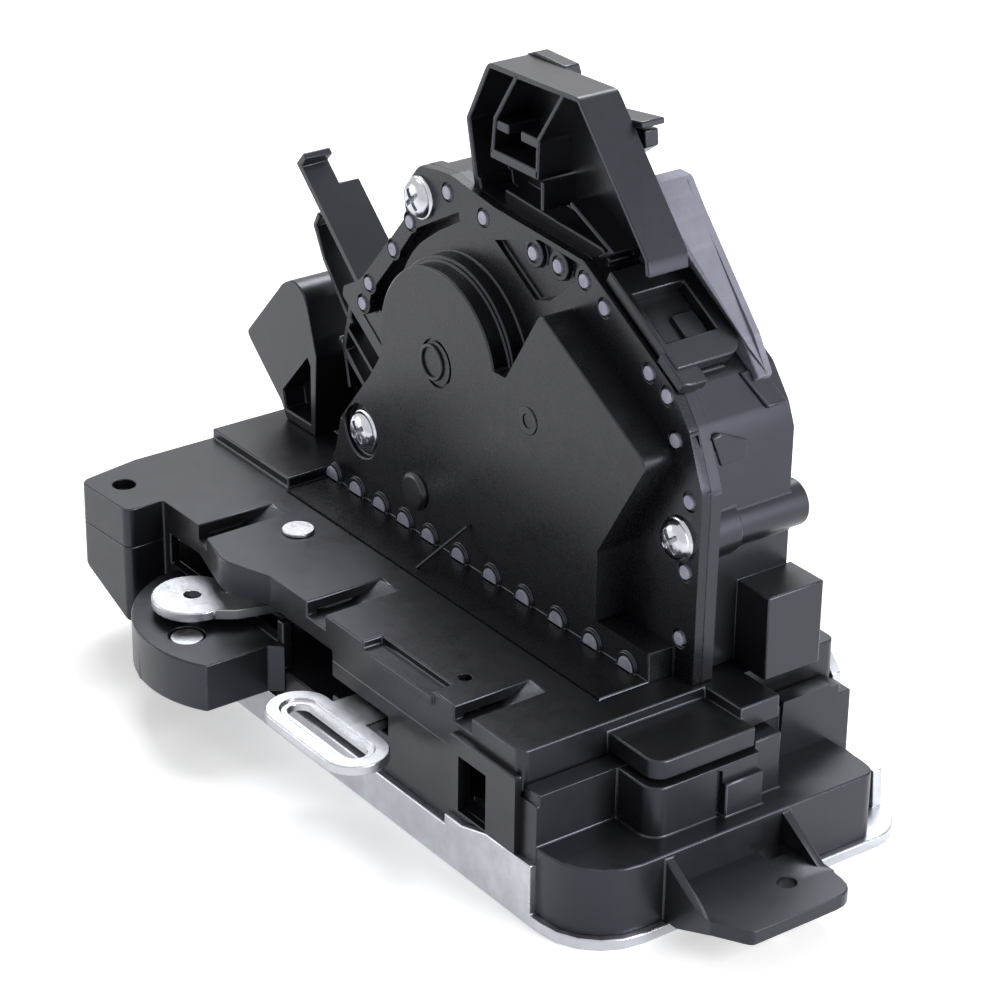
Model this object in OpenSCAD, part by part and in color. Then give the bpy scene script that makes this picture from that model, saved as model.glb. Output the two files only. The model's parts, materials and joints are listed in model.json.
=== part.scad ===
// Side door latch with its electric lock actuator.
// The latch plate's outer face lies on Z = 0, the deck is level above it and the actuator stands
// on the deck with its cover facing -Y. The origin is on the plate's outer face, beside the
// inner end of the striker slot.

/* [Latch plate] */
// Distance from the origin to the plate's free end, towards -X
plate_left = 62; // [60:0.5:64]
// Distance from the origin to the plate's rim, towards +X
plate_right = 56; // [55:0.5:58]
// Distance from the origin to the outer face of the front flange
plate_front = 36; // [35:0.5:38]
// Distance from the origin to the outer face of the back flange
plate_back = 40; // [38:0.5:43]
// Thickness of the steel sheet
plate_t = 2.2; // [1.8:0.1:2.6]
// Height of the low stretch of the front flange
flange_low_h = 8.2; // [7:0.2:9]
// Height of the front flange at its +X end
flange_high_h = 12.4; // [11.5:0.2:14]
// Height of the tall tab of the back flange
back_tab_h = 30; // [26:0.5:31]
// Width of the striker slot
slot_w = 14; // [12:0.5:15]
// Distance of the striker slot's centre line from the origin, towards -X
slot_x = 8; // [7:0.5:9]
// Tap-drill diameter of the M6 fixing threads
fix_d = 5; // [4.6:0.1:5.4]
// Length of the extruded collar behind each fixing thread
fix_collar_h = 3.2; // [2:0.2:4]

/* [Latch housing] */
// Clear height of the chamber for the claw and the pawl
chamber_h = 9.8; // [9.8:0.1:11]
// Thickness of the web over the chamber
web_t = 2; // [1.6:0.1:2.6]
// Thickness of the moulded walls
wall = 2.2; // [1.8:0.1:2.6]
// Thickness of the steel back plate that ties the rivets
back_plate_t = 1.6; // [1.2:0.1:2]
// Distance from the origin to the housing's free end, towards -X
head_left = 103.7; // [101:0.5:106]
// Distance from the origin to the face of the rounded end, towards +X
nose_x = 54.7; // [53.5:0.1:54.9]
// Height of the ledge on the rounded end above the plate's outer face
ledge_z = 15.7; // [14.5:0.1:16.5]
// Reach of the fixing tab beyond the rounded end
tab_reach = 19.3; // [15:0.5:24]
// Width of the fixing tab over its two gussets
tab_w = 28.5; // [24:0.5:30]
// Diameter of the hole in the fixing tab
tab_hole_d = 3.6; // [3:0.1:4.5]

/* [Deck cover] */
// Height of the deck cover
deck_h = 8.5; // [8:0.1:10]
// Diameter of the locating hole in the deck's free end
deck_hole_d = 4.8; // [4:0.1:5.4]

/* [Claw and pawl] */
// Outer radius of the claw
claw_r = 20; // [19:0.1:20.6]
// Thickness of the steel of the claw and the pawl
claw_t = 4; // [3.4:0.1:4.2]
// Width of the claw's striker mouth
mouth_w = 11; // [10:0.5:12]
// Diameter of the rivets that the claw and the pawl turn on
rivet_d = 8; // [7:0.1:8.6]
// Radial running clearance of the levers on their rivets
run_gap = 0.05; // [0.03:0.01:0.08]
// Gap between the claw's rim and the pawl that rides on it
pawl_gap = 0.3; // [0.2:0.05:0.6]

/* [Levers] */
// Thickness of the release levers
lever_t = 2; // [1.8:0.1:2.4]
// Length of the outside release lever's slotted eye
eye_len = 31; // [28:0.5:33]
// Width of the outside release lever's slotted eye
eye_w = 13; // [12:0.5:14]
// Width of the slot in that eye
eye_slot_w = 4.6; // [4.2:0.2:5.4]
// Radius of the inside release lever's cable eye
cable_eye_r = 8; // [7:0.2:8.4]
// Diameter of the hole in the cable eye
cable_hole_d = 3.4; // [3:0.1:4]

/* [Actuator] */
// Distance from the origin plane to the cover flange's front face
flange_y = 4.5; // [4:0.1:5]
// Thickness of the cover's skin
skin = 2; // [1.6:0.1:2.4]
// How far the raised part of the cover stands in front of its flange
raised = 7.1; // [6:0.1:8]
// Depth of the back shell behind the cover
shell_depth = 21.5; // [21:0.1:24]
// Radius of the gear lobe on the cover
lobe_r = 18.8; // [18:0.1:20]
// Module of the worm wheel's teeth
gear_m = 1; // [1:0.01:1.02]
// Diameter of the motor can
motor_d = 24; // [22:0.5:24]
// Length of the motor can
motor_len = 28; // [25:0.5:28]
// Diameter of the heat stakes
stake_d = 2.6; // [2.4:0.1:3.2]
// Diameter of the cover screws' heads
screw_head_d = 8.6; // [8:0.1:9]
// Diameter of the cover screws' shanks
screw_d = 3.6; // [3.2:0.1:4]

/* [Hidden] */
$fn = 48;

// Levels above the plate's outer face, from the plate up to the deck
claw_z = plate_t + 2;
coat_t = 1;
web_z = plate_t + chamber_h;
room_z = web_z + web_t;
back_plate_z = room_z + back_plate_t;
ring_z = back_plate_z + 1.8;
lever_gap = 1.6;
seat_gap = 0.2;
cable_z = ring_z + lever_t + lever_gap;
bracket_top = cable_z - lever_gap;
base_top = cable_z + lever_t + 1;
deck_z = base_top + deck_h;

// Faces of the base
flange_in = -plate_front + plate_t;
front_y = -plate_front + 1.3;
back_in = plate_back - plate_t;
end_wall_x = 40;
deck_end_x = 35.2;
head_right = 84.4;
head_front = 8.4;

// Pivots in plan
claw_at = [7, 6];
pawl_at = [-27, -6];
stud_at = [-57.8, -20];
stud_r = 2.6;
bracket_rivet_at = [-54.7, -47.7];
fix_at = [[-44, 24], [31, 24], [-8, -26]];
striker_reach = 15;
open_angle = 130;
notch_from = 166;
notch_to = 187;

// Faces and pivots of the actuator, in X and Z
shell_y = flange_y + skin;
back_y = shell_y + shell_depth;
raised_y = flange_y - raised;
wheel_at = [-36, deck_z + 39.5];
screw_at = [[-51.2, deck_z + 66.5], [-61.6, deck_z + 15.5], [28.6, deck_z + 27.6]];
stake_r = stake_d / 2;
screw_r = screw_d / 2;

// Shapes: a corner list is [x, y, radius], and rounded() turns each corner into an arc
function unit(v) = v / norm(v);
function flat(p) = [p.x, p.y];
function corner(a, b, c, r, n) =
    r <= 0 ? [flat(b)] :
    let (u = unit(flat(a) - flat(b)), v = unit(flat(c) - flat(b)),
         half = acos(u * v) / 2,
         p = flat(b) + u * r / tan(half),
         q = flat(b) + v * r / tan(half),
         m = flat(b) + unit(u + v) * r / sin(half),
         from = atan2(p.y - m.y, p.x - m.x),
         sweep = (atan2(q.y - m.y, q.x - m.x) - from + 540) % 360 - 180)
    [for (i = [0 : n]) m + r * [cos(from + sweep * i / n), sin(from + sweep * i / n)]];
function at(p, i) = p[(i + len(p)) % len(p)];
function rounded(p, n = 5) =
    [for (i = [0 : len(p) - 1]) each corner(at(p, i - 1), p[i], at(p, i + 1), p[i][2], n)];
function left_of(a, b) = let (d = unit(flat(b) - flat(a))) [-d.y, d.x];
// The outline moved inwards by w; the corners are given anticlockwise
function inset(p, w) =
    [for (i = [0 : len(p) - 1])
        let (m = left_of(at(p, i - 1), p[i]), n = left_of(p[i], at(p, i + 1)),
             s = flat(p[i]) + (m + n) * w / (1 + m * n),
             convex = m.x * n.y - m.y * n.x > 0)
        [s.x, s.y, p[i][2] > 0 ? max(0, p[i][2] + (convex ? -w : w)) : 0]];

module z_slab(pts, z0, z1) translate([0, 0, z0]) linear_extrude(z1 - z0) polygon(pts);
module y_slab(pts, y0, y1) translate([0, y1, 0]) rotate([90, 0, 0]) linear_extrude(y1 - y0) polygon(pts);
module x_slab(pts, x0, x1) translate([x0, 0, 0]) rotate([90, 0, 90]) linear_extrude(x1 - x0) polygon(pts);
module box(a, b) translate(a) cube(b - a);
module post(p, z0, z1, r) translate([p.x, p.y, z0]) cylinder(h = z1 - z0, r = r);
module y_post(p, y0, y1, r) translate([p.x, y1, p.y]) rotate([90, 0, 0]) cylinder(h = y1 - y0, r = r);
// A bar with round ends from p to q
module bar(p, q, r, z0, z1) {
    d = q - p;
    post(p, z0, z1, r);
    post(q, z0, z1, r);
    translate([p.x, p.y, z0]) rotate(atan2(d.y, d.x)) translate([0, -r, 0]) cube([norm(d), 2 * r, z1 - z0]);
}

// Outlines of the base in plan
plate_outline = [[-plate_left, -plate_front, 0], [end_wall_x, -plate_front, 0],
    [plate_right, -plate_front + 0.4, 13.3], [plate_right, plate_back, 8], [-plate_left, plate_back, 3]];
base_outline = [[-head_left, -30, 1], [-head_left + 2.5, front_y - head_front - 0.9, 2],
    [-head_right, front_y - head_front, 2], [-head_right, front_y, 0.6],
    [end_wall_x, front_y, 0], [end_wall_x, back_in, 0], [-66, back_in, 6], [-head_left, 18, 6]];
nose_outline = [[end_wall_x - wall, front_y + 0.2, 0], [nose_x, front_y + 0.2, 12],
    [nose_x, 32, 3], [end_wall_x - wall, 32, 0]];
deck_outline = [[-head_left, -30, 1], [-head_left + 2.5, front_y - head_front - 0.9, 2],
    [-head_right, front_y - head_front, 2], [-head_right, front_y, 0.6], [-71, front_y, 0],
    [-64.5, front_y - 1.8, 0], [-56, front_y - 4.2, 8], [-45, front_y, 1.5],
    [deck_end_x, front_y, 2], [deck_end_x, back_in, 2], [-66, back_in, 6], [-head_left, 18, 6]];

// Profile of the front flange in X and Z
front_flange = [[-plate_left, 0], [end_wall_x, 0], [end_wall_x, flange_high_h], [27, flange_high_h],
    [19.5, flange_low_h + 2.1], [14.3, flange_low_h + 2.1],
    [14.3, flange_low_h], [-plate_left, flange_low_h]];
slot_left = -slot_x - slot_w / 2;
slot_right = -slot_x + slot_w / 2;
back_flange_free = [[-plate_left + 6, 0], [slot_left - 3, 0], [slot_left - 3, 13], [-plate_left + 9, 13],
    [-plate_left + 6, 9]];
back_flange_tall = [[slot_right + 3, 0], [plate_right - 8, 0], [plate_right - 8.5, 9.8], [35.2, 11.4],
    [34.8, back_tab_h - 5.5], [32, back_tab_h - 2.5], [28, back_tab_h], [9, back_tab_h], [9, 14],
    [slot_right + 3, 14]];

module striker_slot(z0, z1, gap = 0) {
    r = slot_w / 2 + gap;
    post([-slot_x, claw_at.y], z0, z1, r);
    box([-slot_x - r, claw_at.y, z0], [-slot_x + r, plate_back + 1, z1]);
    z_slab([[-slot_x - r, plate_back - 12], [-slot_x + r, plate_back - 12],
        [-slot_x + r + 3, plate_back + 1], [-slot_x - r - 3, plate_back + 1]], z0, z1);
}

module latch_plate() color("#c9ccd2") difference() {
    union() {
        z_slab(rounded(plate_outline), 0, plate_t);
        y_slab(front_flange, -plate_front, flange_in);
        y_slab(back_flange_free, back_in, plate_back);
        y_slab(back_flange_tall, back_in, plate_back);
        for (p = fix_at) post(p, plate_t, plate_t + fix_collar_h, fix_d / 2 + 2);
    }
    striker_slot(-1, plate_t + 1);
    for (p = fix_at) post(p, -1, plate_t + fix_collar_h + 1, fix_d / 2);
    for (p = [claw_at, pawl_at]) post(p, -1, plate_t + 1, rivet_d / 2);
}

// What the latch housing is cut back by: the flanges, and the slanted underside of its free end
module base_clearance() {
    y_slab([for (p = front_flange) [p.x, p.y > 0 ? p.y : -1]], -plate_front - 9, flange_in);
    y_slab([[-head_left - 9, -1], [-plate_left, -1], [-plate_left, 5], [-80, 5], [-86, 7.7],
        [-head_left + 2.5, 15], [-head_left - 9, 16]], -60, plate_back);
}

module housing_shell() difference() {
    union() {
        z_slab(rounded(base_outline), plate_t, base_top);
        z_slab(rounded(nose_outline), plate_t, ledge_z);
    }
    intersection() {
        z_slab(rounded(inset(base_outline, wall)), plate_t - 9, web_z);
        union() {
            box([-head_left, -60, -9], [-plate_left - wall, plate_back, web_z]);
            box([-plate_left, flange_in + wall, -9], [end_wall_x, plate_back, web_z]);
        }
    }
    z_slab(rounded(inset(base_outline, wall)), room_z, base_top + 1);
    intersection() {
        z_slab(rounded(inset(nose_outline, wall)), plate_t - 1, ledge_z - wall);
        box([end_wall_x, -60, 0], [nose_x, plate_back, ledge_z]);
    }
    base_clearance();
}

// The stepped block on the end wall, over the ledge
bump_outline = [[end_wall_x - wall, -17, 0], [50, -17, 3.5], [50, 7.3, 0.5], [end_wall_x - wall, 7.3, 0]];
module end_blocks() {
    difference() {
        z_slab(rounded(bump_outline), ledge_z, base_top + 1.8);
        box([49, -2.2, ledge_z - 1], [51, -1.2, base_top + 1]);
    }
    box([end_wall_x, -1.2, ledge_z], [51.2, 7.3, base_top - 1.6]);
    box([end_wall_x - wall, 7.3, ledge_z], [48.6, 13.4, base_top + 3.2]);
    box([end_wall_x - wall, 20.5, ledge_z], [end_wall_x + 0.6, 32, base_top + 3]);
    box([deck_end_x + 0.2, front_y + 0.5, base_top - wall], [end_wall_x, 35, base_top + 2]);
}

module fixing_tab() {
    y0 = -17.5;
    y1 = y0 + tab_w;
    end_x = nose_x + tab_reach;
    top = 8.7;
    difference() {
        z_slab(rounded([[nose_x - wall, y0, 0], [end_x - 7, y0, 0], [end_x, y0 + 4, 1.5], [end_x, y1 - 1, 4],
            [end_x - 11, y1, 0], [nose_x - wall, y1, 0]]), top - 2.8, top);
        post([nose_x + 10.6, 1.5], 0, top + 1, tab_hole_d / 2);
        box([nose_x + 0.2, 3.6, 0], [nose_x + 3.4, 8.6, top + 1]);
    }
    for (y = [y0, y1 - 1.8])
        y_slab([[nose_x - wall, plate_t], [nose_x + 3, plate_t], [nose_x + 12.5, top - 2.8],
            [nose_x + 12.5, top], [nose_x + 10, top], [nose_x, ledge_z - 0.9],
            [nose_x - wall, ledge_z - 0.9]], y, y + 1.8);
}

pin_orbit = 8;
lever_swing = 16;
// The arc that the pawl's pin sweeps, as a slot about the pawl's pivot
module pin_track(z0, z1) translate([pawl_at.x, pawl_at.y, z0])
    rotate(180 - lever_swing - 20) rotate_extrude(angle = lever_swing + 40)
        translate([pin_orbit - 2.6, 0]) square([5.2, z1 - z0]);

module latch_housing() color("#1b1c20") difference() {
    union() {
        housing_shell();
        end_blocks();
        fixing_tab();
    }
    striker_slot(-1, web_z, 1);
    for (p = [claw_at, pawl_at]) post(p, web_z - 1, room_z + 1, rivet_d / 2);
    pin_track(web_z - 1, room_z + 1);
    // Window of the outside lever and its ragged free end
    box([-41, front_y - 1, ring_z - 1], [-5.6, front_y + wall + 1, ring_z + lever_t + 1]);
    box([-41, front_y - 1, room_z], [-24, front_y + wall + 1, base_top + 1]);
    // Gate that the cable eye swings through
    box([-82, front_y - 1, bracket_top], [-43, front_y + wall + 1, base_top + 1]);
    // Recess behind the deck cover's clip window
    box([17.5, front_y - 1, flange_high_h + 0.6], [27.8, front_y + wall + 1, base_top + 1]);
}

module lever_bracket() color("#1a1b1f") {
    c = [-56, front_y + 3.7];
    difference() {
        intersection() {
            post(c, bracket_top - 10, bracket_top, 24.4);
            z_slab([[-79, -58], [-42.2, -58], [-42.2, front_y - 2.5], [-40, front_y], [-79, front_y]],
                bracket_top - 10, bracket_top);
        }
        post(bracket_rivet_at, bracket_top - 11, bracket_top + 1, 2.2);
        post(bracket_rivet_at, bracket_top - 1.1, bracket_top + 1, 3.6);
        z_slab(rounded([[-74, -48, 3], [-62, -52.5, 6], [-47, -49.5, 3], [-47, front_y - 3, 1],
            [-74, front_y - 3, 1]]), bracket_top - 11, bracket_top - 2.4);
    }
}

deck_grooves = [[-71, -65.6], [-32.4, -26.2], [15.2, 20.5]];
deck_groove_depth = 3;
foot = [[-73.5, -12.2], [28.5, -1.4]];
foot_t = 1.6;
foot_top = deck_z + 0.4;
module deck_cover() color("#1d1e22") {
    difference() {
        union() {
            z_slab(rounded(deck_outline), base_top, deck_z);
            // Lid over the end wall's block, and the block beside it
            z_slab(rounded([[deck_end_x - wall, -15.5, 0], [48.8, -15.5, 3], [48.8, 7, 0],
                [deck_end_x - wall, 7, 0]]), base_top + 2.4, deck_z - 2.2);
            box([deck_end_x - wall, 6.5, base_top + 3.8], [45.2, 15.6, deck_z]);
            // Raised landing beside the actuator
            z_slab([[-head_left, -11.2], [-75, -11.2], [-75, 4], [-84, 9], [-head_left, 9]],
                deck_z - wall, deck_z + 2.1);
            // Clip loop that hangs over the latch housing's front
            box([16, front_y - 1.3, flange_high_h + 0.2], [35.4, front_y, base_top + 4]);
        }
        z_slab(rounded(inset(deck_outline, wall)), base_top - 1, deck_z - wall);
        // Grooves with a ramp at their inner end
        for (g = deck_grooves)
            x_slab([[-60, deck_z - deck_groove_depth], [-24.5, deck_z - deck_groove_depth],
                [-17.5, deck_z], [-17.5, deck_z + 9], [-60, deck_z + 9]], g[0], g[1]);
        // The actuator cover's foot is let into the deck
        box([foot[0].x, foot[0].y, foot_top - foot_t], [foot[1].x, shell_y, deck_z + 9]);
        post([-95.1, -37.4], base_top, deck_z + 1, deck_hole_d / 2);
        // Notch in the front edge
        box([-13.5, front_y - 1, deck_z - 1.6], [8.5, front_y + 4.3, deck_z + 1]);
        post([7.9, -27], base_top, deck_z + 1, 1.3);
        post(stud_at, base_top, deck_z + 1, stud_r);
        // The front wall is cut up over the inside lever and the outside lever's gap
        box([-82, -60, base_top - 1], [-24, front_y + wall + 1, base_top + 2]);
        // Window of the clip loop
        box([18.5, front_y - 9, flange_high_h + 0.6], [26.8, front_y + wall + 1, base_top + 0.3]);
        lock_gate(base_top - 1, deck_z + 9);
    }
    // Lip in front of the notch
    box([-9, front_y - 0.6, deck_z - 2.6], [9, front_y + 0.4, deck_z - 0.9]);
    // The grooves' floors
    for (g = deck_grooves)
        x_slab([[front_y + 0.5, deck_z - deck_groove_depth - 1.4],
            [-24, deck_z - deck_groove_depth - 1.4], [-16, deck_z - 1.4], [-16, deck_z - 0.2],
            [-17.7, deck_z - 0.2], [-24.5, deck_z - deck_groove_depth],
            [front_y + 0.5, deck_z - deck_groove_depth]], g[0] - 0.6, g[1] + 0.6);
}

module back_plate() color("#b9bcc3") difference() {
    z_slab(rounded([[-40, -18, 5], [-16, -18, 5], [18, -6, 5], [20, 16, 5], [-2, 18, 4], [-38, 8, 5]]),
        room_z, back_plate_z);
    for (p = [claw_at, pawl_at]) post(p, room_z - 1, back_plate_z + 1, rivet_d / 2);
    pin_track(room_z - 1, back_plate_z + 1);
}

// The claw in its open pose, about its pivot: a disc with the striker mouth and the pawl's notch,
// drawn with its whole outline moved inwards by skin_t
module claw_disc(skin_t, z0, z1) difference() {
    post([0, 0], z0, z1, claw_r - skin_t);
    rotate(open_angle) {
        post([striker_reach, 0], z0 - 1, z1 + 1, mouth_w / 2 + skin_t);
        box([striker_reach, -mouth_w / 2 - skin_t, z0 - 1], [claw_r + 9, mouth_w / 2 + skin_t, z1 + 1]);
    }
    difference() {
        z_slab([[0, 0], 40 * [cos(notch_from), sin(notch_from)], 40 * [cos(notch_to), sin(notch_to)]],
            z0 - 1, z1 + 1);
        post([0, 0], z0 - 2, z1 + 2, claw_r - skin_t - 4.5);
    }
}

module claw() color("#8d9097") translate(claw_at) difference() {
    claw_disc(coat_t, claw_z, claw_z + claw_t);
    post([0, 0], claw_z - 1, claw_z + claw_t + 1, rivet_d / 2 + run_gap);
}

module claw_coat() color("#26272b") translate(claw_at) difference() {
    claw_disc(0, claw_z - coat_t, claw_z + claw_t + coat_t);
    claw_disc(coat_t, claw_z, claw_z + claw_t);
    post([0, 0], 0, web_z, rivet_d / 2 + 3);
}

module pawl() color("#8d9097") difference() {
    union() {
        post(pawl_at, claw_z, claw_z + claw_t, 9);
        bar(pawl_at, pawl_at - [pin_orbit, 0], 4, claw_z, claw_z + claw_t);
        z_slab([pawl_at + [0, -9], pawl_at + [21, -8], pawl_at + [21.8, -5], pawl_at + [18.4, -1],
            pawl_at + [0, 9]], claw_z, claw_z + claw_t);
    }
    post(claw_at, claw_z - 1, claw_z + claw_t + 1, claw_r + pawl_gap);
    post(pawl_at, claw_z - 1, claw_z + claw_t + 1, rivet_d / 2 + run_gap);
    post(pawl_at - [pin_orbit, 0], claw_z - 1, claw_z + claw_t + 1, 2);
}

module pawl_pin() color("#a9acb2") {
    post(pawl_at - [pin_orbit, 0], claw_z, ring_z + lever_t, 2);
}

// A rivet through the plate, the web and the back plate, with a shoulder under what turns on it
module through_rivet(p) {
    post(p, 0, back_plate_z, rivet_d / 2);
    post(p, plate_t, claw_z - seat_gap, rivet_d / 2 + 2);
    post(p, claw_z + claw_t + seat_gap, web_z, rivet_d / 2 + 0.6);
}

lever_pin_r = 3;
module claw_rivet() color("#d4d6da") {
    through_rivet(claw_at);
    post(claw_at, back_plate_z, back_plate_z + 1.4, rivet_d / 2 + 1.6);
}

module pawl_rivet() color("#d4d6da") {
    through_rivet(pawl_at);
    post(pawl_at, back_plate_z, ring_z - seat_gap, rivet_d / 2 + 1);
    post(pawl_at, ring_z - seat_gap, ring_z + lever_t + seat_gap, lever_pin_r);
    post(pawl_at, ring_z + lever_t + seat_gap, ring_z + lever_t + 1.2, lever_pin_r + 2);
}

module lever_stud() color("#d4d6da") {
    post(stud_at, room_z, cable_z - seat_gap, 4);
    post(stud_at, cable_z - seat_gap, cable_z + lever_t + seat_gap, lever_pin_r);
    post(stud_at, cable_z + lever_t + seat_gap, deck_z, stud_r);
    post(stud_at, deck_z, deck_z + 0.7, 3.2);
}

module bracket_rivet() color("#d4d6da") {
    post(bracket_rivet_at, bracket_top - 3, bracket_top - 0.5, 2.2);
    post(bracket_rivet_at, bracket_top - 1.1, bracket_top - 0.3, 3.2);
}

module striker_buffer() color("#2b2b2d")
    z_slab(rounded([[-slot_x - 6, claw_at.y - 12.2, 2], [-slot_x + 6, claw_at.y - 12.2, 2],
        [-slot_x + 6, claw_at.y - slot_w / 2 - 1.2, 1], [-slot_x - 6, claw_at.y - slot_w / 2 - 1.2, 1]]),
        claw_z + claw_t + coat_t + 0.3, web_z);

// A round wire swept along a coil with a straight leg at each end
function coil(r, pitch, turns, steps) =
    [for (i = [0 : turns * steps]) [r * cos(i * 360 / steps), r * sin(i * 360 / steps), pitch * i / steps]];
module wire(path, r, sides = 6) {
    n = len(path);
    rings = [for (i = [0 : n - 1])
        let (t = unit(path[min(i + 1, n - 1)] - path[max(i - 1, 0)]),
             s = unit(cross(t, abs(t.z) > 0.9 ? [1, 0, 0] : [0, 0, 1])), u = cross(s, t))
        for (k = [0 : sides - 1]) path[i] + r * (cos(k * 360 / sides) * s + sin(k * 360 / sides) * u)];
    polyhedron(rings, [[for (k = [sides - 1 : -1 : 0]) k],
        for (i = [0 : n - 2], k = [0 : sides - 1])
            let (next = (k + 1) % sides)
            [i * sides + k, i * sides + next, (i + 1) * sides + next, (i + 1) * sides + k],
        [for (k = [0 : sides - 1]) (n - 1) * sides + k]], convexity = 6);
}

module torsion_spring(p, z, r, wire_r, turns, turn_from, leg) translate([p.x, p.y, z]) rotate(turn_from) {
    c = coil(r, wire_r * 2.1, turns, 14);
    last = c[len(c) - 1];
    wire(concat([[r, -leg, 0]], c, [last + leg * unit([-last.y, last.x, 0])]), wire_r);
}

module claw_spring() color("#5d6066")
    torsion_spring(claw_at, claw_z + claw_t + coat_t + 0.7, rivet_d / 2 + 2.2, 0.5, 1.25, 40, 8);
module pawl_spring() color("#5d6066")
    torsion_spring(pawl_at, claw_z + claw_t + 0.7, rivet_d / 2 + 1.3, 0.5, 2.25, 300, 6);
module inside_lever_spring() color("#5d6066")
    torsion_spring(stud_at, room_z + 1, 5.4, 0.5, 3.5, 60, 7);

eye_at = [-10, front_y - 10.4];
module outside_lever() color("#d8dade") difference() {
    union() {
        post(pawl_at, ring_z, ring_z + lever_t, 8);
        bar(pawl_at, pawl_at - [pin_orbit, 0], 4.6, ring_z, ring_z + lever_t);
        z_slab([pawl_at + [-6, -5.3], [-17.4, front_y + 3], [-17.4, eye_at.y], [-6.6, eye_at.y],
            [-6.6, front_y + 4], pawl_at + [6, 5.3]], ring_z, ring_z + lever_t);
        bar(eye_at - [eye_len / 2 - eye_w / 2, 0], eye_at + [eye_len / 2 - eye_w / 2, 0], eye_w / 2,
            ring_z, ring_z + lever_t);
    }
    post(pawl_at, ring_z - 1, ring_z + lever_t + 1, lever_pin_r + run_gap);
    post(pawl_at - [pin_orbit, 0], ring_z - 1, ring_z + lever_t + 1, 2.3);
    bar(eye_at - [eye_len / 2 - eye_w / 2, 0], eye_at + [eye_len / 2 - eye_w / 2, 0], eye_slot_w / 2,
        ring_z - 1, ring_z + lever_t + 1);
    bar(eye_at - [eye_len / 2 - eye_w / 2, 0], eye_at + [eye_len / 2 - eye_w / 2, 0], eye_slot_w / 2 + 1.4,
        ring_z + lever_t - 0.6, ring_z + lever_t + 1);
}

cable_eye_at = [-62.5, -41.6];
module inside_lever() color("#dcdee2") difference() {
    union() {
        post(stud_at, cable_z, cable_z + lever_t, 7);
        z_slab(rounded([[-63, -16, 0], [-61, -30, 4], [-63.5, -40, 0], [-57.5, -46, 0],
            [-52, -38, 3], [-50, -30, 4], [-45, -19, 3], [-41, -12, 2], [-49, -12, 2]]),
            cable_z, cable_z + lever_t);
        post(cable_eye_at, cable_z, cable_z + lever_t, cable_eye_r);
    }
    post(stud_at, cable_z - 1, cable_z + lever_t + 1, lever_pin_r + run_gap);
    post(cable_eye_at, cable_z - 1, cable_z + lever_t + 1, cable_hole_d / 2);
}

// Outlines of the actuator in X and Z: what the cover and the back shell share, the rim of the
// back shell, and the cover with a gap between its narrow stake strip and the gear lobe
rim_right = [[-74, deck_z, 0], [34, deck_z, 0], [34.4, deck_z + 38, 5], [30, deck_z + 49, 5],
    [25, deck_z + 55.4, 4], [-1, deck_z + 70.5, 3], [-28, deck_z + 72, 3], [-42, deck_z + 74, 2],
    [-52, deck_z + 73, 5]];
rim_outline = concat(rim_right, [[-58.2, deck_z + 66, 4], [-56.8, deck_z + 61.3, 1],
    [-62.3, deck_z + 54.6, 0], [-70.3, deck_z + 45.3, 1], [-76, deck_z + 40.5, 1],
    [-80.9, deck_z + 37.7, 0], [-81.4, deck_z + 35.5, 0.6], [-66, deck_z + 24.8, 0],
    [-70.5, deck_z + 17, 1], [-74, deck_z + 5, 1]]);
gap_r = 23.6;
gap_edge = concat([[-69.7, deck_z + 36.8, 1], [-67.7, deck_z + 41.8, 1], [-59.5, deck_z + 51.5, 0],
    [-53, deck_z + 59.6, 2], [-44.2, deck_z + 64.6, 2], [-39.2, deck_z + 67.4, 0],
    [-38.8, deck_z + 65.8, 0], [-45.3, deck_z + 61.9, 0]],
    [for (a = [125 : 7.75 : 187]) [wheel_at.x + gap_r * cos(a), wheel_at.y + gap_r * sin(a), 0]]);
cover_outline = concat(rim_right, [[-57.6, deck_z + 66, 4], [-56.2, deck_z + 61.2, 1],
    [-61.9, deck_z + 54.4, 0], [-69.9, deck_z + 45, 1], [-72.6, deck_z + 38.2, 1]],
    gap_edge, [[-59.6, deck_z + 29.5, 1], [-69.8, deck_z + 16.9, 1], [-72.4, deck_z + 6, 1]]);
// Outline of the cover's raised part: the left flank and the motor's slanting bay
raised_outline = [[-71.2, deck_z + 6, 1], [14.2, deck_z + 6, 1], [14.2, deck_z + 20.8, 1],
    [27.5, deck_z + 43.1, 2], [-4.1, deck_z + 60.9, 1.5], [-14.2, deck_z + 44.5, 1], [-40, deck_z + 44.5, 0],
    [-53.7, deck_z + 35.7, 2], [-58.3, deck_z + 28.7, 1], [-68.6, deck_z + 16, 2]];

// The motor and its worm lie on one slanting axis behind the cover
motor_slope = 30;
motor_y = 13;
motor_dir = [cos(motor_slope), 0, -sin(motor_slope)];
motor_from = [-10.6, motor_y, deck_z + 49.6];
worm_pitch_r = 4.4;
module on_motor_axis(t) translate(motor_from + t * motor_dir) rotate([0, 90 + motor_slope, 0]) children();

stakes = [[-42.7, deck_z + 70.2], [-31.3, deck_z + 68.8], [-15.8, deck_z + 67], [-8.3, deck_z + 67],
    [-0.6, deck_z + 66.8], [5.3, deck_z + 63.6], [18.5, deck_z + 55.9], [23.7, deck_z + 53.4],
    [26.4, deck_z + 45.9], [30.9, deck_z + 35.7], [30.6, deck_z + 21.7], [29.8, deck_z + 8],
    [-54.9, deck_z + 60.3], [-60.6, deck_z + 52.8], [-68.9, deck_z + 42.8], [-71.1, deck_z + 37.8]];
edge_stake_r = 2;
edge_stake_x = [for (i = [0 : 4]) -73 + 8.4 * i, for (i = [0 : 5]) -29.4 + 10.4 * i];

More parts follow.
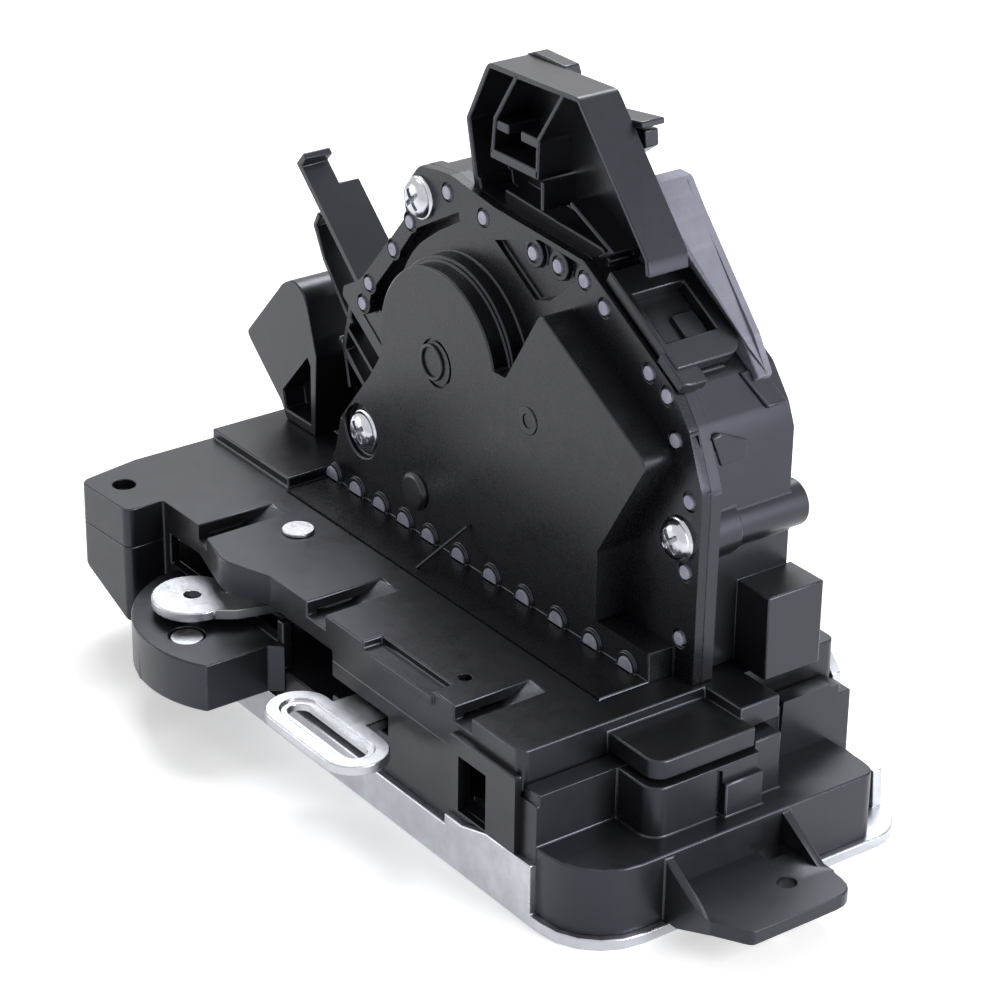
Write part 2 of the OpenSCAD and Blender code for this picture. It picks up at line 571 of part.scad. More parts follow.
lock_at = wheel_at + 25 * [cos(60), -sin(60)];
lock_y = motor_y + 3.5;
lock_t = 3;
module lock_gate(z0, z1) box([lock_at.x - 9, lock_y - 0.8, z0], [lock_at.x + 9, lock_y + lock_t + 0.8, z1]);

hood_outline = [[-36.4, deck_z + 71, 0], [18, deck_z + 57, 0], [14.6, deck_z + 75.2, 0],
    [-6.3, deck_z + 99, 2], [-33.3, deck_z + 98, 2], [-39.7, deck_z + 85.5, 1]];
hood_y = shell_y;
hood_depth = 9;
axle_r = 3;

module actuator_housing() color("#1c1d21") difference() {
    union() {
        difference() {
            union() {
                shell_bulk();
                connector_hood();
                clip_frame();
                side_ribs();
                // Box on the +X side
                box([31, 16.4, deck_z], [end_wall_x, back_y + 1.3, deck_z + 16.8]);
            }
            difference() {
                shell_slab(shell_inset + wall, shell_y - 1, back_y - wall);
                box([-99, shell_y - 2, deck_z], [-74, back_y, deck_z + 60]);
            }
        }
        intersection() {
            union() {
                for (p = screw_at) y_post(p, shell_y, back_y, screw_r + 2.8);
                for (p = stakes) y_post(p, shell_y, shell_y + 6, stake_r + 1.2);
                chamber_corner();
                // Bearing of the worm's outer end
                on_motor_axis(-27) translate([-6, -4, 0]) cube([8, back_y - motor_y + 4, 3]);
            }
            union() {
                y_slab(rounded(inset(rim_outline, 0.6)), shell_y, shell_y + rim_t);
                shell_slab(shell_inset + 0.6, shell_y, back_y - 0.6);
            }
        }
        // Boss of the screw on the +X side, which stands proud of the shell
        y_post(screw_at[2], shell_y + 1, back_y - 13, screw_r + 3.4);
        y_post(screw_at[2], shell_y + 1, back_y + 3.2, screw_r + 2.7);
        // Seats of the wheel's axle and the lock lever's pin
        y_post(wheel_at, motor_y + 7.3, back_y - 0.5, axle_r + 3);
        y_post(lock_at, lock_y + lock_t + 0.3, back_y - 0.5, axle_r + 2);
        for (t = [8, 24]) on_motor_axis(t) cradle_rib();
    }
    for (p = screw_at) y_post(p, shell_y - 1, shell_y + 14, screw_r);
    y_slab(rounded(gap_edge), shell_y - 1, gap_floor_y);
    y_post(wheel_at, motor_y, back_y - 1, axle_r);
    y_post(lock_at, motor_y, back_y - 1, axle_r);
    on_motor_axis(-28) cylinder(h = 5, r = shaft_r + run_gap);
    lock_gate(deck_z - 1, deck_z + wall + 1);
    box([33, 18, deck_z - 1], [end_wall_x - 1.6, back_y - 0.6, deck_z + 15]);
}

// A rib across the back shell that cradles the motor can
module cradle_rib() difference() {
    translate([-11, 2, 0]) cube([22, back_y - motor_y - 3, 2.4]);
    translate([0, 0, -1]) cylinder(h = 5, r = motor_d / 2);
}

rim_t = 2.5;
shell_right = 31.9;
// The rim's outline moved inwards by w, with the shell's straight +X side
module shell_slab(w, y0, y1) intersection() {
    y_slab(rounded(inset(rim_outline, w)), y0, y1);
    box([-99, y0, deck_z - 9], [shell_right - w, y1, deck_z + 99]);
}
shell_inset = 0.7;

// What the rim and the shell behind it fill
module shell_bulk() {
    y_slab(rounded(rim_outline), shell_y, shell_y + rim_t);
    shell_slab(shell_inset, shell_y + rim_t, back_y);
}

// Solid corner under the gap, round the gear chamber
gap_floor_y = shell_y + 3;
module chamber_corner() y_slab(concat([[-38.5, deck_z + 70.5], [-50, deck_z + 70.5],
    [-78, deck_z + 40], [-78, deck_z + 26], [-62, deck_z + 26]],
    [for (a = [199 : -8.5 : 97]) wheel_at + (gap_r - wall) * [cos(a), sin(a)]]),
    shell_y + 0.2, gap_floor_y + 2);

// Ribs beside the shell, as slanting strips that one steep strip ties together
rib_t = 1.2;
rib_from = 8;
rib_to = 13.5;
module strip(p, q, y0, y1) {
    n = left_of(p, q) * rib_t;
    y_slab([p, q, q + n, p + n], y0, y1);
}
module side_ribs() {
    strip([-82.9, deck_z + 27.5], [-67.9, deck_z + 16.9], rib_from, rib_to);
    strip([-86, deck_z + 23.9], [-70, deck_z + 12.1], rib_from, rib_to);
    strip([-82.7, deck_z + 22.7], [-79.9, deck_z + 34.4], rib_from, rib_to);
    strip([-80.8, deck_z + 14.8], [-82.7, deck_z + 22.7], rib_from, rib_to);
    // Bent finger under the harness arm
    y_slab([[-92.7, deck_z + 49.3], [-94.4, deck_z + 46.1], [-90.8, deck_z + 39.3], [-82.9, deck_z + 30.3],
        [-80.6, deck_z + 28.7], [-79.9, deck_z + 29.7], [-82, deck_z + 31.2], [-89.8, deck_z + 40],
        [-93, deck_z + 46.1], [-91.6, deck_z + 48.7]], rib_from, rib_to - 0.5);
}

module connector_hood() {
    y1 = hood_y + hood_depth;
    difference() {
        y_slab(rounded(hood_outline), hood_y, y1);
        y_slab(rounded(inset(hood_outline, 2)), hood_y - 1, y1 - 1.6);
    }
    // Socket box with its window
    difference() {
        y_slab([[-32, deck_z + 80.5], [-16.6, deck_z + 80.5], [-17, deck_z + 89.5], [-9.4, deck_z + 98],
            [-23.6, deck_z + 98], [-31.2, deck_z + 89]], hood_y, y1);
        y_slab([[-30.6, deck_z + 82], [-18.2, deck_z + 82], [-18.4, deck_z + 90], [-13, deck_z + 95.4],
            [-23, deck_z + 95.4], [-29.8, deck_z + 88.6]], hood_y - 1, y1 - 2.4);
    }
    // Wall that carries the hood on the shell's shoulder
    y_slab([[-30, deck_z + 60], [18, deck_z + 50], [18, deck_z + 60], [-1, deck_z + 72], [-30, deck_z + 74]],
        hood_y + 2, y1);
}

// Frame with a window on the shell's sloping shoulder
module clip_frame() {
    slope = atan2(15.1, 26);
    translate([-1, 0, deck_z + 70.5]) rotate([0, slope, 0]) {
        difference() {
            z_slab(rounded([[3.5, shell_y + 0.2, 0.6], [28.5, shell_y + 0.2, 0.6],
                [28.5, shell_y + 16.9, 5], [3.5, shell_y + 16.9, 5]]), 0.8, 3);
            z_slab(rounded([[10.5, shell_y + 1.2, 0], [21.5, shell_y + 1.2, 0], [21.5, shell_y + 13, 0.6],
                [10.5, shell_y + 13, 0.6]]), 0, 9);
        }
        for (u = [3.7, 23.3]) translate([u, shell_y + 0.6, -2.5]) cube([5, 10.6, 4]);
        // Block at the frame's low corner
        translate([24.5, flange_y + 0.2, 0.1]) cube([7, 6.3, 2.5]);
        // Nose of the clip, in the window
        translate([15, shell_y + 7.5, -2.5]) cube([6, 4.6, 4.3]);
    }
}

module actuator_cover() color("#202126") difference() {
    union() {
        y_slab(rounded(cover_outline), flange_y, shell_y);
        for (i = [12 : 15]) y_post(stakes[i], flange_y, shell_y, stake_r + 1);
        y_slab(rounded(raised_outline), raised_y, flange_y);
        // Collar at the foot of the gear lobe
        y_post(wheel_at, flange_y - 3.4, flange_y, lobe_r + 1.2);
        y_post(wheel_at, raised_y, flange_y, lobe_r);
        y_slab([[foot[0].x, foot_top - 0.5], [foot[1].x, foot_top - 0.5], [foot[1].x, deck_z + 6],
            [foot[0].x, deck_z + 6]], foot[1].y, shell_y);
        box([foot[0].x, foot[0].y, foot_top - foot_t], [foot[1].x, shell_y, foot_top]);
        // Rims of the edge stakes' niches
        intersection() {
            for (x = edge_stake_x)
                y_post([x, foot_top + 0.5], foot[1].y - 0.5, foot[1].y + 1, edge_stake_r + 0.8);
            box([foot[0].x, foot[1].y - 1, foot_top - 1], [foot[1].x, shell_y, deck_z + 9]);
        }
    }
    difference() {
        union() {
            y_slab(rounded(inset(raised_outline, skin)), raised_y + skin, shell_y + 1);
            y_post(wheel_at, raised_y + skin, shell_y + 1, lobe_r - skin);
        }
        y_post(screw_at[1], raised_y, shell_y + 1, screw_r + 3.4);
        y_post(wheel_at, raised_y, shell_y - 1, axle_r + 2);
    }
    for (p = screw_at) y_post(p, raised_y - 9, shell_y + 1, screw_r);
    y_post(screw_at[1], raised_y - 9, raised_y + 1.4, screw_head_d / 2 + 1.2);
    y_post(wheel_at, raised_y + skin, shell_y + 9, axle_r);
    // Ring groove round the wheel's boss, and a shallow recess round three of the stakes
    difference() {
        y_post(wheel_at, raised_y - 1, raised_y + 0.5, 4.9);
        y_post(wheel_at, raised_y - 2, raised_y + 1, 4.3);
    }
    difference() {
        y_slab([[-27.6, deck_z + 65.7], [-14.6, deck_z + 58], [-10, deck_z + 60], [-3.6, deck_z + 65.7],
            [0.2, deck_z + 69.4], [-1.6, deck_z + 69.5], [-14, deck_z + 70.2]], flange_y - 1, flange_y + 1.2);
        y_slab(rounded(raised_outline), raised_y, shell_y);
        for (i = [2 : 4]) y_post(stakes[i], raised_y, shell_y, stake_r + 1.5);
    }
    for (p = stakes) {
        y_post(p, flange_y - 1, shell_y + 1, stake_r);
        y_post(p, flange_y - 1, flange_y + 0.5, stake_r + 0.6);
    }
    for (x = edge_stake_x) y_post([x, foot_top + 0.5], foot[1].y - 1, foot[1].y + 2, edge_stake_r);
}

module heat_stakes() color("#c3c4dc") for (p = stakes) y_post(p, flange_y - 0.3, shell_y, stake_r);

module edge_stakes() color("#c3c4dc") intersection() {
    for (x = edge_stake_x) y_post([x, foot_top + 0.5], foot[1].y - 0.7, foot[1].y + 2, edge_stake_r);
    box([foot[0].x - 9, -9, foot_top], [foot[1].x + 9, 9, foot_top + 9]);
}

// A pan-head screw that is driven in along +Y, with a cross recess
module cover_screw(p, y0) difference() {
    union() {
        y_post(p, y0 - 1.5, y0, screw_head_d / 2);
        y_post(p, y0 - 2.3, y0 - 1.5, screw_head_d / 2 - 1);
        y_post(p, y0, shell_y + 12, screw_r);
    }
    translate([p.x, y0 - 2.4, p.y]) for (a = [40, 130]) rotate([0, a, 0])
        translate([-2.3, 0, -0.5]) cube([4.6, 1.5, 1]);
}

module cover_screws() color("#e3e5e8") {
    cover_screw(screw_at[0], flange_y);
    cover_screw(screw_at[1], raised_y + 1.4);
    cover_screw(screw_at[2], flange_y);
}

wheel_teeth = 34;
pinion_teeth = 10;
// Teeth as trapezoids on a rim: root radius, tip radius, and half widths at root and tip
module toothed_rim(count, root_r, tip_r, root_half, tip_half, h) for (i = [0 : count - 1])
    rotate(i * 360 / count) linear_extrude(h)
        polygon([[root_r - 0.4, -root_half], [tip_r, -tip_half],
            [tip_r, tip_half], [root_r - 0.4, root_half]]);

module facing_y(y) translate([0, y, 0]) rotate([90, 0, 0]) children();

wheel_r = wheel_teeth * gear_m / 2;
pinion_r = pinion_teeth * gear_m / 2;
module worm_wheel() color("#e8e6dc") translate([wheel_at.x, 0, wheel_at.y]) difference() {
    union() {
        facing_y(motor_y + 2) {
            difference() {
                cylinder(h = 4, r = wheel_r - 1.3 * gear_m);
                for (i = [0 : 5]) rotate(i * 60 + 15) translate([9.8, 0, -1]) cylinder(h = 6, r = 2.6);
            }
            toothed_rim(wheel_teeth, wheel_r - 1.3 * gear_m, wheel_r + 0.8 * gear_m,
                0.98 * gear_m, 0.34 * gear_m, 4);
        }
        facing_y(motor_y + 7) {
            cylinder(h = 5, r = pinion_r - 1.2 * gear_m);
            rotate(-6) toothed_rim(pinion_teeth, pinion_r - 1.2 * gear_m, pinion_r + 0.8 * gear_m,
                0.9 * gear_m, 0.36 * gear_m, 5);
        }
        facing_y(motor_y - 2) cylinder(h = 5, r = axle_r + 2);
    }
    facing_y(motor_y + 20) cylinder(h = 40, r = axle_r + run_gap);
}

module wheel_axle() color("#d4d6da")
    y_post(wheel_at, raised_y + skin, back_y - 1, axle_r);

worm_lead = PI * gear_m;
worm_from = -23;
worm_len = 13;
worm_phase = 330;
shaft_r = 1.2;
module worm() color("#e8e6dc") difference() {
    on_motor_axis(worm_from) union() {
        cylinder(h = worm_len, r = 3.2);
        rotate(worm_phase) linear_extrude(worm_len, twist = -360 * worm_len / worm_lead,
            slices = 16 * worm_len / worm_lead, $fn = 14) translate([1, 0]) circle(r = worm_pitch_r - 0.1);
    }
    on_motor_axis(worm_from - 1) cylinder(h = worm_len + 2, r = shaft_r);
}

module motor_shaft() color("#c2c5cb") on_motor_axis(-27.8) cylinder(h = 38, r = shaft_r);

module motor_can() color("#a9adb4") difference() {
    union() {
        on_motor_axis(3.5) cylinder(h = motor_len, r = motor_d / 2);
        on_motor_axis(1.8) cylinder(h = 3, r = 4);
    }
    on_motor_axis(0) cylinder(h = 12, r = shaft_r + run_gap);
}

module motor_end_cap() color("#2a2b2f") on_motor_axis(3.5 + motor_len) difference() {
    cylinder(h = 2, r = motor_d / 2 - 0.6);
    for (s = [-1, 1]) translate([s * 5.5 - 1.5, -0.4, -1]) cube([3, 0.8, 4]);
}

module motor_terminals() color("#c8a24a") on_motor_axis(3.5 + motor_len)
    for (s = [-1, 1]) translate([s * 5.5 - 1.5, -0.4, 0]) cube([3, 0.8, 2.6]);

sector_r = 20;
module lock_lever() color("#dcdee2") translate([lock_at.x, 0, lock_at.y]) difference() {
    union() {
        facing_y(lock_y + lock_t) {
            cylinder(h = lock_t, r = 6.5);
            intersection() {
                cylinder(h = lock_t, r = sector_r * gear_m - 1.2);
                linear_extrude(lock_t) polygon([[0, 0], 30 * [cos(84), sin(84)], 30 * [cos(156), sin(156)]]);
            }
            for (i = [-3 : 3]) rotate(120 + i * 9) linear_extrude(lock_t)
                polygon([[sector_r - 1.6, -0.9], [sector_r + 0.8, -0.36], [sector_r + 0.8, 0.36],
                    [sector_r - 1.6, 0.9]]);
            linear_extrude(lock_t) polygon([[-5, 0], [-3, -24], [3, -24], [5, 0]]);
        }
    }
    facing_y(lock_y + 20) cylinder(h = 40, r = axle_r + run_gap);
}

module lock_lever_pin() color("#d4d6da") {
    y_post(lock_at, lock_y - seat_gap, back_y - 1, axle_r);
    y_post(lock_at, lock_y - seat_gap - 1, lock_y - seat_gap, axle_r + 1);
}

// The switch that senses the lock lever, and its plunger, which slides into it along +X
switch_at = [-13.6, lock_y - 1.7, deck_z + 6];
plunger = [3, 2.5, 2.5];
plunger_at = switch_at + [-1.4, 2, 5];
slide_gap = 0.1;
module lock_switch() color("#17181b") difference() {
    box(switch_at, [switch_at.x + 6.5, back_y - wall, switch_at.z + 12.8]);
    box(plunger_at - [1, slide_gap, slide_gap], plunger_at + plunger + [1, slide_gap, slide_gap]);
}
module lock_plunger() color("#b0392e") translate(plunger_at) cube(plunger);

module contact_strips() color("#c8a24a") {
    y = back_y - wall - 0.6;
    y_slab([[-62, deck_z + 24], [-60.6, deck_z + 24], [-60.6, deck_z + 34], [-54, deck_z + 38],
        [-54, deck_z + 39.6], [-62, deck_z + 36]], y, y + 0.6);
    y_slab([[-68, deck_z + 3], [-36, deck_z + 3], [-36, deck_z + 4.4], [-66.6, deck_z + 4.4],
        [-66.6, deck_z + 12], [-68, deck_z + 12]], y, y + 0.6);
}

connector_outline = [[-114, deck_z + 16.5, 1], [-101, deck_z + 5.5, 1], [-98.8, deck_z + 2.1, 0],
    [-88.2, deck_z + 2.1, 0], [-87.5, deck_z + 20, 5], [-93, deck_z + 37.5, 5], [-100, deck_z + 32, 3]];
module connector_body() color("#202127") difference() {
    union() {
        y_slab(rounded(connector_outline), 4, back_y - 2);
        // Bridge to the back shell
        box([-90, 14, deck_z + 4], [-68, 22, deck_z + 18]);
    }
    y_slab(rounded(inset(connector_outline, 2)), 12, back_y);
    y_slab([[-99.2, deck_z + 4.3], [-89.6, deck_z + 4.3], [-89.6, deck_z + 17.5], [-91, deck_z + 19.3],
        [-100, deck_z + 8.3]], 3, 9);
    shell_bulk();
}

module connector_pins() color("#c8a24a")
    for (i = [0 : 4]) y_post([-104 + 2.2 * i, deck_z + 17 + 1.6 * i], 12, 20, 0.6);

module rear_case() color("#3a3c42") difference() {
    union() {
        y_slab(rounded([[-4, deck_z + 66, 0], [2.6, deck_z + 66, 0], [4, deck_z + 74, 1],
            [6.5, deck_z + 79.5, 2], [3.5, deck_z + 84, 1], [0, deck_z + 84, 1], [-4, deck_z + 79.5, 1]]),
            hood_y + hood_depth, 25);
        y_slab(rounded([[-4, deck_z + 66, 0], [24, deck_z + 50, 0], [28, deck_z + 54, 1],
            [24, deck_z + 60.5, 2], [7.5, deck_z + 79, 2], [3.5, deck_z + 84, 1], [-4, deck_z + 79.5, 0]]),
            shell_y + 17.1, 25);
    }
    shell_bulk();
    clip_frame();
}

// Slanting arm with a hooked end that holds the harness
arm_t = 1.6;
module harness_clip() color("#24252a") difference() {
    translate([-70, shell_y, deck_z + 35.4]) rotate([0, -138, 0]) {
        cube([29.3, 11, arm_t]);
        translate([29, 0, 0]) cube([7.2, 6.4, arm_t]);
        translate([36.2 - arm_t, 0, -2.5]) cube([arm_t, 6.4, 2.5 + arm_t]);
    }
    shell_bulk();
}

latch_plate();
latch_housing();
lever_bracket();
deck_cover();
back_plate();
claw();
claw_coat();
pawl();
pawl_pin();
claw_rivet();
pawl_rivet();
lever_stud();
bracket_rivet();
striker_buffer();
claw_spring();
pawl_spring();
outside_lever();
inside_lever();
inside_lever_spring();
actuator_housing();
actuator_cover();
heat_stakes();
edge_stakes();
cover_screws();
worm_wheel();
wheel_axle();
worm();
motor_can();
motor_end_cap();
motor_shaft();
motor_terminals();
lock_lever();
lock_lever_pin();
lock_switch();
lock_plunger();
contact_strips();
connector_body();
connector_pins();
rear_case();
harness_clip();
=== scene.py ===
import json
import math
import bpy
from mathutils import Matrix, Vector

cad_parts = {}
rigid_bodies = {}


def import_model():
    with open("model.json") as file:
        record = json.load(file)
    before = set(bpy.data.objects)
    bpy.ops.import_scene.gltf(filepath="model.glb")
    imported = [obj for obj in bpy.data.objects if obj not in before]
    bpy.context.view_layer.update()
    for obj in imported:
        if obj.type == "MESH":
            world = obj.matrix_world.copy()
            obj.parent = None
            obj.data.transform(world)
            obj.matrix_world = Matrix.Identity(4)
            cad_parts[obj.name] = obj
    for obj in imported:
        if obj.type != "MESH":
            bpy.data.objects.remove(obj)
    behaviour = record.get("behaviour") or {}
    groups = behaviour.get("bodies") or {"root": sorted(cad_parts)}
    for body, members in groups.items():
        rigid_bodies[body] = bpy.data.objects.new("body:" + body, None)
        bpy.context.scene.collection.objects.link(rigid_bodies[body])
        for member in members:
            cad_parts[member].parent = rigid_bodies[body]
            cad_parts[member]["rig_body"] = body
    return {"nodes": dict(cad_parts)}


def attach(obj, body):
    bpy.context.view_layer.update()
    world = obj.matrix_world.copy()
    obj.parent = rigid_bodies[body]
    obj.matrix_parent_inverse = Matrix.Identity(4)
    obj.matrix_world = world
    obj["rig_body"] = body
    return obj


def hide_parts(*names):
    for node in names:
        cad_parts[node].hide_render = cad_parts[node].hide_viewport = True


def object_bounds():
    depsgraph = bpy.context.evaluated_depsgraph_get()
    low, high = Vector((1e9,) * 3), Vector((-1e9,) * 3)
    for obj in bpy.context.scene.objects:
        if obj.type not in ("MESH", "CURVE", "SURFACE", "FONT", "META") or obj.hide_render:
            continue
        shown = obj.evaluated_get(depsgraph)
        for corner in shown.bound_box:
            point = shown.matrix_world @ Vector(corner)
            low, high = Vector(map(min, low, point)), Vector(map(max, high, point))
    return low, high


bl_info = {
    "name": "Door latch actuator",
    "version": (1, 0, 0),
    "blender": (4, 5, 0),
    "location": "View3D > Sidebar > Door latch",
    "description": "Dresses the packed door latch with rounded edges, small parts, finishes and a studio",
    "category": "Add Mesh",
}

import bmesh
import bpy
import numpy as np
from bpy.props import FloatProperty, FloatVectorProperty, IntProperty, PointerProperty
from mathutils import Matrix, Vector
from mathutils.bvhtree import BVHTree

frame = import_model()
CAD_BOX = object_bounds()
MM = 0.001


# The sizes and colours that a user would change
class LatchSizes(bpy.types.PropertyGroup):
    moulded_edge: FloatProperty(
        name="Moulded edge", description="Radius on the edges of the moulded parts",
        default=0.32 * MM, min=0.0, unit="LENGTH")
    pressed_edge: FloatProperty(
        name="Pressed edge", description="Radius on the edges of the steel pressings",
        default=0.25 * MM, min=0.0, unit="LENGTH")
    small_edge: FloatProperty(
        name="Small edge", description="Radius on the edges of rivets, pins and stakes",
        default=0.3 * MM, min=0.0, unit="LENGTH")
    edge_steps: IntProperty(
        name="Edge steps", description="Faces across each rounded edge", default=2, min=1, max=4)


class LatchColours(bpy.types.PropertyGroup):
    moulded_black: FloatVectorProperty(
        name="Moulded black", description="Colour of the black mouldings",
        default=(0.0062, 0.0064, 0.0078), size=3, min=0.0, max=1.0, subtype="COLOR")
    grainy_black: FloatVectorProperty(
        name="Grainy black", description="Colour of the grained rear case",
        default=(0.15, 0.152, 0.185), size=3, min=0.0, max=1.0, subtype="COLOR")
    zinc: FloatVectorProperty(
        name="Zinc", description="Colour of the zinc-plated steel",
        default=(0.56, 0.58, 0.62), size=3, min=0.0, max=1.0, subtype="COLOR")
    stake: FloatVectorProperty(
        name="Stake", description="Colour of the melted stakes",
        default=(0.6, 0.62, 0.72), size=3, min=0.0, max=1.0, subtype="COLOR")


class LatchStudio(bpy.types.PropertyGroup):
    floor_size: FloatProperty(
        name="Floor size", description="Length of the floor's sides",
        default=6.0, min=1.0, unit="LENGTH")
    key_power: FloatProperty(
        name="Key power", description="Power of the large lamp over the object",
        default=7.5, min=0.0, unit="POWER")
    side_power: FloatProperty(
        name="Side power", description="Power of the lamp at the object's right",
        default=7.0, min=0.0, unit="POWER")
    front_power: FloatProperty(
        name="Front power", description="Power of the low lamp at the object's front left",
        default=0.7, min=0.0, unit="POWER")
    fill_level: FloatProperty(
        name="Fill level", description="Strength of the light from all round",
        default=0.25, min=0.0)
    lens: FloatProperty(
        name="Lens", description="Focal length of the camera in millimetres",
        default=118.1, min=1.0)


# Shader nodes
def put(tree, kind, **values):
    node = tree.nodes.new(kind)
    for name, value in values.items():
        setattr(node, name, value)
    return node


def feed(tree, socket, source):
    """Links a socket to another one, or gives it a plain value."""
    if isinstance(source, bpy.types.NodeSocket):
        tree.links.new(source, socket)
    else:
        socket.default_value = source


def noise(tree, place, scale, detail, roughness=0.55):
    node = put(tree, "ShaderNodeTexNoise")
    tree.links.new(place, node.inputs["Vector"])
    feed(tree, node.inputs["Scale"], scale)
    node.inputs["Detail"].default_value = detail
    node.inputs["Roughness"].default_value = roughness
    return node.outputs["Fac"]


def remap(tree, value, span, to=(0.0, 1.0)):
    """Carries a value from one span to another, held at the ends."""
    node = put(tree, "ShaderNodeMapRange")
    feed(tree, node.inputs["Value"], value)
    for name, number in zip(("From Min", "From Max", "To Min", "To Max"), span + to):
        feed(tree, node.inputs[name], number)
    return node.outputs["Result"]


def work_out(tree, operation, first, second):
    node = put(tree, "ShaderNodeMath", operation=operation)
    feed(tree, node.inputs[0], first)
    feed(tree, node.inputs[1], second)
    return node.outputs["Value"]


def blend_colours(tree, factor, first, second):
    node = put(tree, "ShaderNodeMix", data_type="RGBA")
    feed(tree, node.inputs["Factor"], factor)
    feed(tree, node.inputs["A"], first)
    feed(tree, node.inputs["B"], second)
    return node.outputs["Result"]


def object_place(tree):
    return put(tree, "ShaderNodeTexCoord").outputs["Object"]


# The effects that several finishes share
COLOUR, NUMBER = "NodeSocketColor", "NodeSocketFloat"


def new_group(name, inputs, outputs):
    tree = bpy.data.node_groups.new(name, "ShaderNodeTree")
    for socket_name, kind, default in inputs:
        socket = tree.interface.new_socket(socket_name, in_out="INPUT", socket_type=kind)
        socket.default_value = default
    for socket_name, kind in outputs:
        tree.interface.new_socket(socket_name, in_out="OUTPUT", socket_type=kind)
    return tree, put(tree, "NodeGroupInput").outputs, put(tree, "NodeGroupOutput").inputs


# The stretch of each noise over which the clouds, rubbed patches and edge lines come in; the edge line is
# a painted highlight on the mouldings and dull wear on the zinc
CLOUD_RANGE, RUBBED_RANGE, WEAR_AND_SHEEN_RANGE = (0.35, 0.7), (0.45, 0.7), (0.42, 0.62)
# Streaks: the turn of their way, how they are drawn out along it, and where they come in
STREAK_TURN, STREAK_STRETCH = (0.4, 0.9, 0.6), (1.0, 0.12, 1.0)
STREAK_START, STREAK_FULL = 0.8, 0.85
PATCH_SCALE = 35.0


def shade_variation_group():
    """Cloudy change of colour over a surface, from the given colour towards a second one."""
    tree, given, out = new_group(
        "Shade variation",
        [("Colour", COLOUR, (0.5, 0.5, 0.5, 1)), ("Second colour", COLOUR, (0.6, 0.6, 0.6, 1)),
         ("Scale", NUMBER, 60.0), ("Share", NUMBER, 0.5)],
        [("Colour", COLOUR), ("Mask", NUMBER)])
    clouds = noise(tree, object_place(tree), given["Scale"], detail=4.0)
    mask = work_out(tree, "MULTIPLY", remap(tree, clouds, CLOUD_RANGE), given["Share"])
    tree.links.new(mask, out["Mask"])
    tree.links.new(blend_colours(tree, mask, given["Colour"], given["Second colour"]),
                   out["Colour"])
    return tree


def grain_group():
    """Height of a fine grain with a coarser orange-peel under it."""
    tree, given, out = new_group(
        "Moulding grain",
        [("Grain scale", NUMBER, 2500.0), ("Peel scale", NUMBER, 300.0),
         ("Peel share", NUMBER, 0.5)],
        [("Height", NUMBER)])
    place = object_place(tree)
    fine = noise(tree, place, given["Grain scale"], detail=2.0)
    peel = noise(tree, place, given["Peel scale"], detail=3.0)
    height = work_out(tree, "ADD", fine, work_out(tree, "MULTIPLY", peel, given["Peel share"]))
    tree.links.new(height, out["Height"])
    return tree


def marks_group():
    """Mask of rubbed streaks and specks that run along one way."""
    tree, given, out = new_group(
        "Handling marks",
        [("Scale", NUMBER, 120.0), ("Cover", NUMBER, 0.3), ("Amount", NUMBER, 1.0)],
        [("Mask", NUMBER)])
    place = object_place(tree)
    streak_way = put(tree, "ShaderNodeMapping")
    streak_way.inputs["Rotation"].default_value = STREAK_TURN
    streak_way.inputs["Scale"].default_value = STREAK_STRETCH
    tree.links.new(place, streak_way.inputs["Vector"])
    streaks = noise(tree, streak_way.outputs["Vector"], given["Scale"], detail=5.0, roughness=0.7)
    patches = noise(tree, place, PATCH_SCALE, detail=2.0)
    start = work_out(tree, "SUBTRACT", STREAK_START, given["Cover"])
    lines = remap(tree, streaks, (start, STREAK_FULL))
    mask = work_out(tree, "MULTIPLY", lines, remap(tree, patches, RUBBED_RANGE))
    tree.links.new(work_out(tree, "MULTIPLY", mask, given["Amount"]), out["Mask"])
    return tree


def wear_and_sheen_group():
    """Mask of a broken line along an edge: a painted highlight on the mouldings, dull wear on the zinc.
    """
    tree, given, out = new_group(
        "Edge wear", [("Scale", NUMBER, 180.0), ("Amount", NUMBER, 0.5)], [("Mask", NUMBER)])
    broken = noise(tree, object_place(tree), given["Scale"], detail=5.0, roughness=0.65)
    mask = work_out(tree, "MULTIPLY", remap(tree, broken, WEAR_AND_SHEEN_RANGE), given["Amount"])
    tree.links.new(mask, out["Mask"])
    return tree


GROUP_MAKERS = {"Shade variation": shade_variation_group, "Moulding grain": grain_group,
                "Handling marks": marks_group, "Edge wear": wear_and_sheen_group}
GROUPS = {}


def use_group(tree, name, **values):
    """Places a group, built the first time, with its own values."""
    if name not in GROUPS:
        GROUPS[name] = GROUP_MAKERS[name]()
    node = put(tree, "ShaderNodeGroup", node_tree=GROUPS[name])
    for socket, value in values.items():
        feed(tree, node.inputs[socket.replace("_", " ")], value)
    return node.outputs


# The finishes
def rgba(colour, times=1.0):
    return tuple(channel * times for channel in colour) + (1.0,)


def new_material(name):
    material = bpy.data.materials.new(name)
    material.use_nodes = True
    return material, material.node_tree, material.node_tree.nodes["Principled BSDF"]


def add_bump(tree, shader, height, strength, distance):
    bump = put(tree, "ShaderNodeBump")
    bump.inputs["Strength"].default_value = strength
    bump.inputs["Distance"].default_value = distance
    tree.links.new(height, bump.inputs["Height"])
    tree.links.new(bump.outputs["Normal"], shader.inputs["Normal"])


def set_roughness(tree, shader, height, span, levels, marks=None, rubbed=0.0):
    """Roughness that follows the grain, and is raised where the surface is rubbed."""
    roughness = remap(tree, height, span, levels)
    if marks is not None:
        raised = work_out(tree, "MULTIPLY", marks, rubbed)
        roughness = work_out(tree, "ADD", roughness, raised)
    tree.links.new(roughness, shader.inputs["Roughness"])


# Clouded and rubbed tones, and the tone of the broken edge line, as times the colour of the moulding or
# of the zinc; on the mouldings that line is a painted highlight, on the zinc it is dull wear
MOULDED_TONES, ZINC_TONES = (1.7, 4.5, 9.0), (0.78, 0.5, 0.62)
